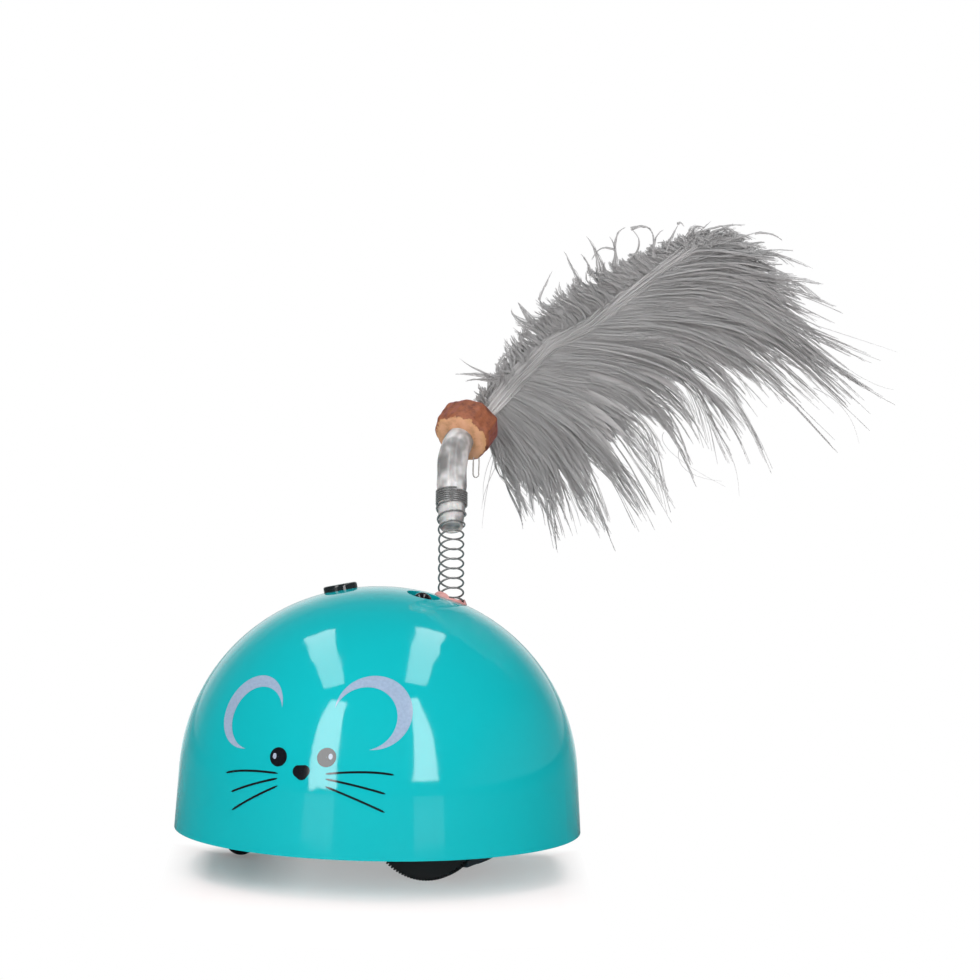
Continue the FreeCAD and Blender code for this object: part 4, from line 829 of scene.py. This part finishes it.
def thread_piece():
    """Three strands side by side, each down a leg, round the loop and up."""
    angle = np.linspace(pi, tau, 24)
    loop = joined(np.cos(angle) * THREAD_HALF, 0 * angle, np.sin(angle) * THREAD_DROP)
    leg = np.linspace(*THREAD_LEG, 8)[:, None] * UP
    curve = np.concatenate([leg - [THREAD_HALF, 0, 0], loop, leg[::-1] + [THREAD_HALF, 0, 0]])
    step = np.arange(len(curve))
    lines = []
    for i in range(3):
        fuzz = [np.sin(step * (0.5 + 0.2 * i) + i) * 0.07, np.cos(step * 0.6 + i) * 0.1, 0 * step]
        line = curve + np.stack(fuzz, axis=-1) + [0, THREAD_PITCH * i, 0] + THREAD_AT
        lines.append(turned(*line.T))
    return strands("thread", np.array(lines), THREAD_R, 6, BACKWARD)


dress(thread_piece(), SLOTS["thread"], "thread", "feather", "thread_loop")


# Feather. Its places are (side, up) from the spot where the tail leaves the dome.

PLUME_BACK = 35.5
# How far along the quill its direction is taken, and how strongly a barb keeps its first and last direction
LOOK = 6
HOLD = 0.46
RACHIS = np.array([
    (7.8, 42.6), (12.2, 47.9), (16.6, 53.6), (24.7, 61.7),
    (34.7, 66.7), (44.4, 75.1), (52.5, 81.5), (61.2, 87.7),
])
# Clumps of barbs: share of the quill at their root, side and up of their tip, and the angles at which
# they leave and end
LOWER = np.array([
    (0.00, 18.5, 13.5, -66, -80),
    (0.02, 24.1, 12.5, -56, -79),
    (0.05, 29.5, 9.5, -46, -82),
    (0.09, 42.0, 8.5, -30, -60),
    (0.14, 53.3, 16.0, -18, -54),
    (0.19, 56.8, 23.0, -12, -66),
    (0.24, 61.0, 30.0, -6, -70),
    (0.30, 68.0, 32.0, -2, -68),
    (0.36, 75.5, 32.5, 0, -68),
    (0.42, 80.5, 35.5, 3, -58),
    (0.48, 88.5, 39.5, 6, -50),
    (0.53, 97.0, 42.0, 8, -44),
    (0.58, 105.5, 46.0, 8, -42),
    (0.64, 109.5, 49.5, 10, -32),
    (0.70, 106.0, 59.0, 12, -24),
    (0.78, 98.5, 69.0, 14, -24),
    (0.84, 92.0, 77.5, 16, -18),
    (0.90, 83.5, 85.5, 20, -6),
    (0.95, 76.5, 90.5, 24, 6),
    (0.98, 70.5, 90.5, 30, 20),
    (1.00, 62.0, 92.5, 40, 42),
])
UPPER = np.array([
    (0.00, 4.8, 45.5, 128, 112),
    (0.03, 5.2, 50.0, 118, 125),
    (0.07, 6.6, 54.0, 105, 140),
    (0.13, 9.4, 57.0, 95, 132),
    (0.20, 13.0, 61.0, 86, 110),
    (0.27, 15.2, 66.0, 84, 96),
    (0.34, 17.2, 70.5, 78, 90),
    (0.42, 21.0, 74.0, 74, 84),
    (0.50, 25.0, 77.6, 70, 82),
    (0.58, 30.0, 81.0, 66, 76),
    (0.67, 35.5, 83.2, 62, 72),
    (0.76, 41.0, 84.6, 56, 64),
    (0.85, 46.8, 86.6, 50, 56),
    (0.93, 53.5, 89.2, 46, 46),
    (1.00, 59.5, 92.2, 42, 36),
])
# Curly tufts that stand out of the upper edge: three places on the way of each, and how wide its foot is
TUFTS = (
    (12.0, 53.6, 7.0, 54.6, 1.6, 57.8, 0.5),
    (12.0, 53.0, 6.0, 53.8, 0.6, 53.8, 0.8),
    (11.5, 52.5, 6.5, 52.6, 3.2, 52.0, 0.8),
    (11.0, 55.2, 13.0, 58.8, 15.5, 57.4, 0.25),
    (20.0, 66.5, 15.6, 68.6, 14.6, 70.8, 1.2),
    (20.0, 67.0, 17.2, 70.8, 16.2, 72.4, 1.0),
    (21.5, 73.0, 22.6, 76.0, 24.6, 80.4, 0.4),
    (32.0, 77.0, 30.2, 80.6, 27.6, 85.4, 0.7),
    (34.5, 80.0, 33.4, 83.0, 31.8, 84.8, 0.4),
    (37.0, 80.5, 35.8, 85.0, 33.2, 89.4, 1.3),
    (40.4, 82.0, 40.6, 86.0, 39.0, 89.5, 0.8),
    (40.5, 86.0, 41.0, 90.0, 43.0, 91.8, 0.2),
    (40.5, 86.0, 37.0, 86.4, 34.6, 83.4, 0.25),
    (43.6, 83.0, 46.6, 87.6, 44.4, 91.6, 0.3),
    (44.4, 91.6, 49.4, 91.4, 50.0, 85.0, 0.3),
    (50.4, 84.5, 50.4, 88.6, 52.8, 91.6, 0.7),
    (53.4, 86.0, 55.0, 90.0, 56.4, 92.8, 0.4),
    (56.4, 92.8, 56.9, 93.4, 57.9, 92.4, 0.2),
    (53.0, 84.0, 60.0, 89.6, 64.6, 93.9, 0.7),
    (60.0, 90.4, 67.0, 92.6, 73.4, 93.0, 0.15),
    (66.0, 86.8, 71.8, 89.6, 76.6, 91.4, 0.6),
    (76.0, 91.0, 79.8, 91.0, 83.0, 89.4, 0.15),
)
# Single hairs that hang clear of the rest: three places on the way of each
STRAYS = (
    (18.0, 43.0, 14.0, 43.5, 10.2, 43.2),
    (11.6, 36.4, 9.2, 24.0, 8.2, 14.6),
    (12.6, 33.0, 9.2, 25.4, 8.0, 19.6),
    (12.0, 37.0, 8.6, 28.0, 8.8, 20.6),
    (54.0, 40.0, 56.6, 34.4, 70.0, 26.4),
    (58.0, 36.0, 60.0, 30.4, 69.0, 27.8),
    (70.0, 36.0, 72.4, 31.4, 73.6, 24.2),
    (92.0, 52.0, 100.0, 46.6, 104.0, 38.0),
    (92.0, 68.0, 104.0, 64.4, 113.0, 61.6),
    (94.0, 62.0, 104.0, 55.0, 112.4, 52.0),
)


def plume_point(places, back):
    return TAIL_SEAT + turned(places[..., 0], PLUME_BACK + back, places[..., 1])


def rachis_at(t):
    """Place and direction in the plume's plane at the share t of the quill's length."""
    marks = lengths(RACHIS)
    at, ahead, behind = (between(t * marks[-1] + step, marks, RACHIS) for step in (0, LOOK, -LOOK))
    return at, unit(ahead - behind)


def flow(clumps, where, gather, share):
    """Places in the plume's plane, (n, steps, 2), at the shares (n, steps) of the paths that barbs take
    when they root at where, in rows of clumps, and have their tips drawn together by gather."""
    rows = np.arange(len(clumps))
    near = np.round(where)
    aim = near + (where - near) * (1 - gather)
    root = rachis_at(np.interp(where, rows, clumps[:, 0]))[0][:, None]
    tip = between(aim, rows, clumps[:, 1:3])[:, None]
    size = np.linalg.norm(tip - root, axis=-1, keepdims=True)

    def handle(angle):
        return joined(np.cos(angle), np.sin(angle))[:, None] * size * HOLD

    leave, end = np.radians(between(where, rows, clumps[:, 3:])).T
    p1 = root + handle(leave)
    p2 = tip - handle(end)
    t = share[..., None]
    return root * (1 - t) ** 3 + 3 * p1 * t * (1 - t) ** 2 + 3 * p2 * t**2 * (1 - t) + tip * t**3


def spaced(clumps, count):
    """Random rows of clumps, spread evenly over the length of their tips."""
    marks = lengths(clumps[:, 1:3])
    return np.interp(np.sort(rng.uniform(0, marks[-1], count)), marks, np.arange(len(clumps)))


def notched(where, notch):
    """Shorter between two clumps than at either."""
    return 1 - notch * np.sin(pi * (where - np.floor(where))) ** 2


def tone_mesh(obj, tones):
    """A tone for each point, which the material reads."""
    layer = obj.data.attributes.new("tone", "FLOAT", "POINT")
    layer.data.foreach_set("value", np.asarray(tones, np.float32))
    return obj


def hairs(name, lines, radii, sides, tones):
    obj = strands(name, lines, radii, sides, BACKWARD)
    return tone_mesh(obj, np.repeat(tones, lines.shape[1] * sides))


def shares(count, steps):
    return np.linspace(0, 1, steps)[None] * np.ones((count, 1))


def sideways(places):
    """The direction across each path, in the plume's plane."""
    return square_to(unit(np.gradient(places, axis=1)))


def swell(share, near, far):
    """How far apart the barbs of a lock are: close at the root, apart in the middle, closed at the tip."""
    return near * (1 - share) + far * share + 1.9 * share**0.9 * (1 - share) ** 0.8


def waves(count, along, size):
    """Slow sideways waves that grow towards the tips."""
    total = np.zeros((count, along.shape[-1]))
    for turns in (0.9, 1.9, 3.4):
        phase = rng.uniform(0, tau, (count, 1))
        total += rng.normal(0, size / turns, (count, 1)) * np.sin(turns * pi * along + phase)
    return total * along


def locks_piece(
    name, clumps, groups, group, lock, steps, reach, gather, notch, widths, thick, radius, wave=1.0, curl=0.0
):
    """Groups of locks of barbs that follow the flow. The locks of a group, and the barbs of a lock,
    open on their way and close to a point."""
    locks = groups * group
    count = locks * lock
    where = spaced(clumps, groups)
    in_group = np.repeat(np.arange(groups), group * lock)
    in_lock = np.repeat(np.arange(locks), lock)
    length = (rng.uniform(*reach, groups) * notched(where, notch))[in_group]
    length = length * (1 - np.abs(rng.normal(0, 0.07, locks)))[in_lock]
    length = length * np.clip(1 - np.abs(rng.normal(0, 0.09, count)), 0.6, 1.0)
    share = shares(count, steps)
    even = share[:1]
    along = share * length[:, None]
    start = where[in_group] + rng.normal(0, 0.12, locks)[in_lock] + rng.normal(0, 0.012, count)
    places = flow(clumps, np.clip(start, 0, len(clumps) - 1), gather, along)
    wide = swell(share, 0.3, 0.2) * widths[0]
    narrow = swell(share, 0.4, 0.1) * widths[1]
    aside, deep = (
        rng.normal(0, 0.6, locks)[in_lock, None] * wide + rng.normal(0, 0.5, count)[:, None] * narrow
        for _ in range(2)
    )
    deep = deep + rng.normal(0, thick, groups)[in_group, None] * along**0.5 * (1 - 0.55 * along)
    aside = aside + waves(groups, even, wave)[in_group] + waves(locks, even, 0.45 * wave)[in_lock]
    aside = aside + waves(count, even, 0.09 * wave)
    deep = deep + waves(groups, even, wave)[in_group]
    if curl:
        aside = aside + rng.normal(0, curl, locks)[in_lock, None] * share**3
    points = plume_point(places + sideways(places) * aside[..., None], deep)
    taper = radius * rng.uniform(0.8, 1.2, count)[:, None] * (0.7 + 0.45 * share**0.8 - 0.4 * share**5)
    tones = rng.normal(0, 0.5, groups)[in_group] + rng.normal(0, 0.3, locks)[in_lock]
    return hairs(name, points, taper, 3, tones)


def webs_piece(name, clumps, locks, steps, reach, width, thick, shift):
    """Soft webs under the locks, each a thin pointed leaf that follows the flow."""
    where = spaced(clumps, locks)
    length = rng.uniform(*reach, locks) * notched(where, WEB_NOTCH)
    share = shares(locks, steps)
    along = share * length[:, None]
    places = flow(clumps, where, WEB_GATHER, along)
    across = sideways(places)
    half = width * rng.uniform(0.7, 1.3, locks)[:, None] * (0.25 + swell(share, 0.3, 0.0) * 0.8)
    half = half * (1 - share**5)
    deep = shift + rng.normal(0, thick, locks)[:, None] * along**0.5 * (1 - 0.55 * along)
    tilt = rng.normal(0, 0.12, locks)[:, None]
    columns = [
        plume_point(places + across * (half * w)[..., None], deep + half * (0.15 * w * w + tilt * w))
        for w in np.linspace(-1, 1, 5)
    ]
    obj = grids_object(name, np.stack(columns, axis=2), False)
    return tone_mesh(obj, np.repeat(rng.normal(0, 0.45, locks), steps * len(columns)))


def wisps_piece(name, wisps, per_wisp, steps, radius):
    """Tufts and single hairs along given curves."""
    share = np.linspace(0, 1, steps)
    spread = (1 - share) ** 1.3 + 0.05
    lines = []
    for *places, foot in wisps:
        line = curve_through(np.reshape(places, (3, 2)), share)
        across = sideways(line[None])[0]
        for i in range(per_wisp if foot else 1):
            away = rng.normal(0, 0.55, 2) * foot
            end = rng.uniform(0.75, 1.0) if i else 1.0
            hair = between(share * end, share, line)
            kink = rng.normal(0, 0.12, 2)[None]
            kink = kink * np.sin(share * rng.uniform(6, 14) + rng.uniform(0, 6))[:, None]
            hair = hair + across * away[0] * spread[:, None] + across * kink * (foot > 0)
            lines.append(plume_point(hair, rng.normal(0, 0.6) + away[1] * spread))
    taper = radius * np.ones((len(lines), 1)) * (1.1 - 0.75 * share[None])
    return hairs(name, np.array(lines), taper, 4, rng.normal(0, 0.3, len(lines)))


def band_piece(name, count, steps, radius):
    """The pale feet of the barbs, which lie along the quill and hide it."""
    root = rng.uniform(0.0, 0.93, count) ** 1.15
    reach = rng.uniform(0.10, 0.2, count)
    share = shares(count, steps)
    at, way = rachis_at((root[:, None] + reach[:, None] * share).clip(0, 1))
    half = (2.6 - 1.2 * root)[:, None]
    aside = rng.uniform(-1, 1, count)[:, None] * half * (0.75 + 0.35 * share)
    back = -1.4 + (aside / half) ** 2 + rng.normal(0, 0.35, count)[:, None]
    points = plume_point(at + square_to(way) * aside[..., None], back)
    belly = 0.45 + 0.9 * np.sin(pi * share.clip(0.05, 0.95))
    taper = radius * rng.uniform(0.8, 1.2, count)[:, None] * belly
    return hairs(name, points, taper, 3, rng.normal(0, 0.3, count))


def plume_material(name, dark, light, root=None):
    """Soft down: each lock has its own tone, in slow bands of lighter and darker grey."""
    material, tree, bsdf = shader(name, shade(dark, 1.1), 0.8, Specular_IOR_Level=0.15)
    where = place(tree)
    lock = add(tree, "Attribute", attribute_name="tone").outputs["Fac"]
    total = compute("ADD", remap(lock, -1.5, 1.5, -0.1, 0.1), noise(where, 75.0, 2.0))
    tone = ramp(total, [(0.32, dark), (0.68, light)])
    if root:
        tone = mixed(remap(height_of(where), 0.1010, 0.1085), root, tone)
    feed(bsdf, Base_Color=tone)
    glow = add(tree, "BsdfTranslucent", tone)
    surface(0.5, bsdf.outputs["BSDF"], glow.outputs["BSDF"])
    return material


WEB_GATHER = 0.1
WEB_NOTCH = 0.1
LOCK_R = 0.092
DOWN_R = 0.085
plume = plume_material("plume", (0.60, 0.60, 0.602), (0.65, 0.65, 0.652))
pale_plume = plume_material("pale_plume", (0.62,) * 3, (0.69,) * 3, (0.95,) * 3)
web = plume_material("web", (0.53, 0.53, 0.532), (0.57, 0.57, 0.572))
webs = [
    webs_piece("web_lower", LOWER, 420, 12, (0.34, 0.74), 1.15, 1.0, -0.5),
    webs_piece("web_back", LOWER, 200, 12, (0.40, 0.68), 1.6, 0.6, 2.4),
    webs_piece("web_upper", UPPER, 160, 8, (0.4, 0.75), 1.0, 0.6, 0.5),
]
pieces = [
    locks_piece("down_lower_a", LOWER, 180, 3, 7, 9, (0.32, 0.62), 0.0, 0.0, (1.6, 1.3), 1.3, DOWN_R),
    locks_piece("down_lower_b", LOWER, 180, 3, 7, 9, (0.46, 0.78), 0.1, 0.1, (1.6, 1.0), 1.3, DOWN_R),
    locks_piece("barbs_lower_a", LOWER, 115, 3, 7, 12, (0.60, 0.90), 0.3, 0.15, (1.6, 0.6), 1.3, LOCK_R),
    locks_piece("barbs_lower_b", LOWER, 80, 3, 6, 13, (0.84, 1.06), 0.4, 0.15, (1.7, 0.3), 1.5, LOCK_R, 1.3),
    locks_piece("barbs_lower_c", LOWER, 52, 3, 5, 14, (0.96, 1.14), 0.4, 0.12, (1.9, 0.22), 1.6, LOCK_R, 1.6),
    locks_piece("down_upper", UPPER, 120, 4, 8, 8, (0.5, 0.92), 0.1, 0.0, (1.1, 0.8), 1.2, DOWN_R, 0.8, 0.5),
    locks_piece("barbs_upper", UPPER, 60, 3, 6, 9, (0.8, 1.05), 0.3, 0.1, (0.9, 0.4), 1.4, DOWN_R, 0.9, 1.4),
    wisps_piece("tufts", TUFTS, 14, 11, 0.095),
    wisps_piece("strays", [(*places, 0) for places in STRAYS], 1, 14, 0.075),
]
band = band_piece("band", 900, 9, 0.14)
for material, down in ((plume, pieces), (web, webs), (pale_plume, [band])):
    for obj in down:
        dress(obj, material, "plume", "feather")
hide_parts("feather_plume")


def quill_material():
    """Pale horny root that turns grey along the quill."""
    material, tree, bsdf = shader("quill", (0.45, 0.45, 0.44), 0.4)
    where = place(tree)
    height = remap(height_of(where), 0.100, 0.112)
    feed(bsdf, Base_Color=ramp(height, [(0.0, (0.70, 0.70, 0.69)), (1.0, (0.42,) * 3)]))
    bump(bsdf, noise(where, 1500.0), 0.00003)
    return material


QUILL_R = 1.0
QUILL_STEPS = 90
QUILL_DEPTH = 2.0
QUILL_CLEAR = 1.0
QUILL_SHOWS = 0.06


def quill_line():
    """From inside the bead, out of its back and along the plume."""
    inside = BEAD_FACE + BEAD_AXIS * QUILL_DEPTH
    leave = BEAD_FACE + BEAD_AXIS * (BEAD_T + QUILL_CLEAR)
    shown = rachis_at(np.linspace(QUILL_SHOWS, 1.0, 40))[0]
    points = np.concatenate([[inside, leave], plume_point(shown, 0.0)])
    marks = lengths(points)
    line = between(np.linspace(0, marks[-1], QUILL_STEPS), marks, points)
    return joined(*(smoothed(column, 2.5, 6, "edge") for column in line.T))


quill_taper = 1 - 0.85 * np.linspace(0, 1, QUILL_STEPS) ** 0.6
quill = strands("quill", quill_line()[None], QUILL_R * quill_taper, 10, BACKWARD)
dress(quill, quill_material(), "quill", "feather", "feather_quill")


# Floor, light and camera

GROUND_Z = -9.7
FLOOR_SIDES = 96
FLOOR_RINGS = ((20, 0), (400, 0), (1400, 0), (1800, 20), (2200, 110))
PAPER = (0.98, 0.88, 0.87)
BACKDROP_DIR = turned(0.0, 1.0, -0.15)
SIDE_DIR = turned(1.0, 0.0, -0.5)
ROOM_LEVELS = ((0.0, 0.03), (0.30, 0.05), (0.55, 0.10), (0.70, 0.18), (0.84, 0.55), (0.93, 0.97))
MIRRORED_FLOOR = ((0.1, 0.06), (0.3, 0.09), (0.62, 0.15), (0.82, 0.33), (0.95, 0.95))
MIRRORED_RED = 0.85
# How the light grows with a direction: from and to which share of it, and from and to which level
SIDE_LEVEL = (0.55, 0.95, 0.0, 0.2)
BACK_FILL = (0.0, 0.95, 0.13, 0.75)
TOP_FILL = (0.3, 1.0, 0.0, 0.3)
SIDE_FILL = (0.2, 1.0, 0.0, 0.3)
# Metres over which the floor turns white: in part across the shadow, then in full outwards, aside and back
LEFT_FADE = (-0.031, -0.017, 0.17, 0.38)
REACH_FADE = (0.058, 0.11)
SIDE_FADE = (0.038, 0.052)
BACK_FADE = (0.012, 0.03)
KEY_AT = (0.35, -0.9, 0.5)
KEY_AIM = (0, 0, 0.03)
KEY_SIZE = 0.7
KEY_POWER = 2.0


def floor_material():
    """Paper that shines white past the shadow, and that the gloss sees darker."""
    material, tree, bsdf = shader("floor", PAPER, 0.9, Specular_IOR_Level=0.1)
    where = place(tree)
    aside = dot(where, ACROSS)
    fade = remap(aside, *LEFT_FADE)
    for value, fades in (
        (steer("LENGTH", where, output="Value"), REACH_FADE),
        (compute("ABSOLUTE", aside), SIDE_FADE),
        (dot(where, BACKWARD), BACK_FADE),
    ):
        fade = compute("MAXIMUM", fade, remap(value, *fades))
    rays = add(tree, "LightPath").outputs
    behind = dot(steer("NORMALIZE", where), BACKWARD)
    mirrored = ramp(behind, [(at, (MIRRORED_RED * level, level, level)) for at, level in MIRRORED_FLOOR])
    feed(bsdf, Base_Color=mixed(rays["Is Glossy Ray"], PAPER, mirrored))
    seen = compute("MAXIMUM", rays["Is Camera Ray"], rays["Is Transmission Ray"])
    white = add(tree, "Emission", (1, 1, 1), 1.0)
    surface(compute("MULTIPLY", fade, seen), bsdf.outputs["BSDF"], white.outputs["Emission"])
    return material


def make_floor():
    """A pale sweep: flat round the object, with a low lip far out."""
    turns = np.linspace(0, tau, FLOOR_SIDES, endpoint=False)
    rings = [
        joined(np.cos(turns) * reach, np.sin(turns) * reach, 0 * turns + GROUND_Z + rise)
        for reach, rise in FLOOR_RINGS
    ]
    points = np.concatenate([np.concatenate(rings), [[0, 0, GROUND_Z]]])
    faces = grid_faces(len(rings), FLOOR_SIDES, True).tolist()
    faces += [[(j + 1) % FLOOR_SIDES, j, len(points) - 1] for j in range(FLOOR_SIDES)]
    floor = make_object("floor", points, faces, smooth=False)
    floor.data.materials.append(floor_material())


def make_world():
    """A white backdrop behind the object and a dark room in front of it, which the gloss shows, and
    an even fill for matt surfaces."""
    world = bpy.data.worlds.new("studio")
    bpy.context.scene.world = world
    world.use_nodes = True
    tree = world.node_tree
    direction = add(tree, "TexCoord").outputs["Generated"]
    aim = dot(direction, BACKDROP_DIR)
    beside = dot(direction, SIDE_DIR)
    room = ramp(aim, [(at, (level,) * 3) for at, level in ROOM_LEVELS])
    mirrored = compute("ADD", room, remap(beside, *SIDE_LEVEL))
    filled = remap(aim, *BACK_FILL)
    for value, fill in ((height_of(direction), TOP_FILL), (beside, SIDE_FILL)):
        filled = compute("ADD", filled, remap(value, *fill))
    rays = add(tree, "LightPath").outputs
    lit = mixed(rays["Is Diffuse Ray"], mirrored, filled, "FLOAT")
    seen = compute("MAXIMUM", rays["Is Camera Ray"], rays["Is Transmission Ray"])
    strength = mixed(seen, lit, 1.0, "FLOAT")
    feed(tree.nodes["Background"], Color=(1, 1, 1), Strength=strength)


def make_key():
    light = bpy.data.lights.new("key", "AREA")
    light.shape = "RECTANGLE"
    light.size = light.size_y = KEY_SIZE
    light.energy = KEY_POWER
    key = put("key", light)
    key.location = KEY_AT
    key.rotation_euler = (Vector(KEY_AIM) - Vector(KEY_AT)).to_track_quat("-Z", "Y").to_euler()
    key.visible_glossy = False


def from_angles(azimuth, elevation, distance):
    a, e = radians(azimuth), radians(elevation)
    return np.array([sin(a) * cos(e), -cos(a) * cos(e), sin(e)]) * distance


# The lamps' strips as they stand round the dome: strength, and corners as azimuth and elevation
PANELS = (
    (7.5, ((-19.2, 52.0), (-4.3, 52.5), (-1.9, 36.6), (-0.7, 2.6), (-16.5, 2.6), (-18.2, 34.2))),
    (4.5, ((-109.7, 53.7), (-124.0, 60.8), (-17.3, 63.4), (-30.9, 56.3))),
    (7.5, ((50.0, 55.8), (58.0, 55.1), (57.5, 36.1), (57.0, 7.5), (41.5, 7.5))),
    (4.5, ((178.2, 62.7), (163.7, 55.7), (71.2, 60.7), (52.8, 66.3))),
)
PANEL_DISTANCE = 1500.0
# The floor's own glow before two of the strips: azimuths, and how far out it starts and ends
GLOWS = ((-18.0, -1.0), (42.5, 59.0))
GLOW_REACH = (420.0, 1480.0)
GLOW_STRENGTH = 0.8


def glowing(name, points, strength, diffuse):
    """A shining shape that the camera doesn't see and that throws no shadow."""
    material = bpy.data.materials.new(name)
    material.use_nodes = True
    tree = material.node_tree
    tree.nodes.remove(tree.nodes["Principled BSDF"])
    light = add(tree, "Emission", Strength=strength)
    feed(tree.nodes["Material Output"], light.outputs["Emission"])
    obj = make_object(name, points, [list(range(len(points)))])
    obj.data.materials.append(material)
    obj.visible_camera = False
    obj.visible_shadow = False
    obj.visible_diffuse = diffuse


def make_panels():
    for i, (strength, corners) in enumerate(PANELS):
        points = [from_angles(azimuth, elevation, PANEL_DISTANCE) for azimuth, elevation in corners]
        glowing(f"panel_{i + 1}", points, strength, True)


def make_glows():
    near, far = GLOW_REACH
    for i, (start, end) in enumerate(GLOWS):
        corners = ((start, near), (end, near), (end, far), (start, far))
        points = [from_angles(azimuth, 0, reach) + UP * (GROUND_Z + 1) for azimuth, reach in corners]
        glowing(f"glow_{i + 1}", points, GLOW_STRENGTH, False)


CAMERA_AT = from_angles(23.0, 9.09, 1000.0) * MM
CAMERA_YAW = 21.492
CAMERA_PITCH = 4.286
CAMERA_ROLL = -1.183
LENS = 148.445


def make_camera():
    data = bpy.data.cameras.new("camera")
    data.lens = LENS
    data.sensor_width = 36.0
    camera = put("camera", data)
    forward = -Vector(from_angles(CAMERA_YAW, CAMERA_PITCH, 1.0))
    right = forward.cross(Vector((0, 0, 1))).normalized()
    up = right.cross(forward)
    level = Matrix((right, up, -forward)).transposed()
    turn = Matrix.Rotation(-radians(CAMERA_ROLL), 3, "Z")
    camera.matrix_world = Matrix.Translation(CAMERA_AT) @ (level @ turn).to_4x4()
    bpy.context.scene.camera = camera


make_floor()
make_world()
make_panels()
make_glows()
make_key()
make_camera()

bpy.context.scene.view_settings.view_transform = "Standard"
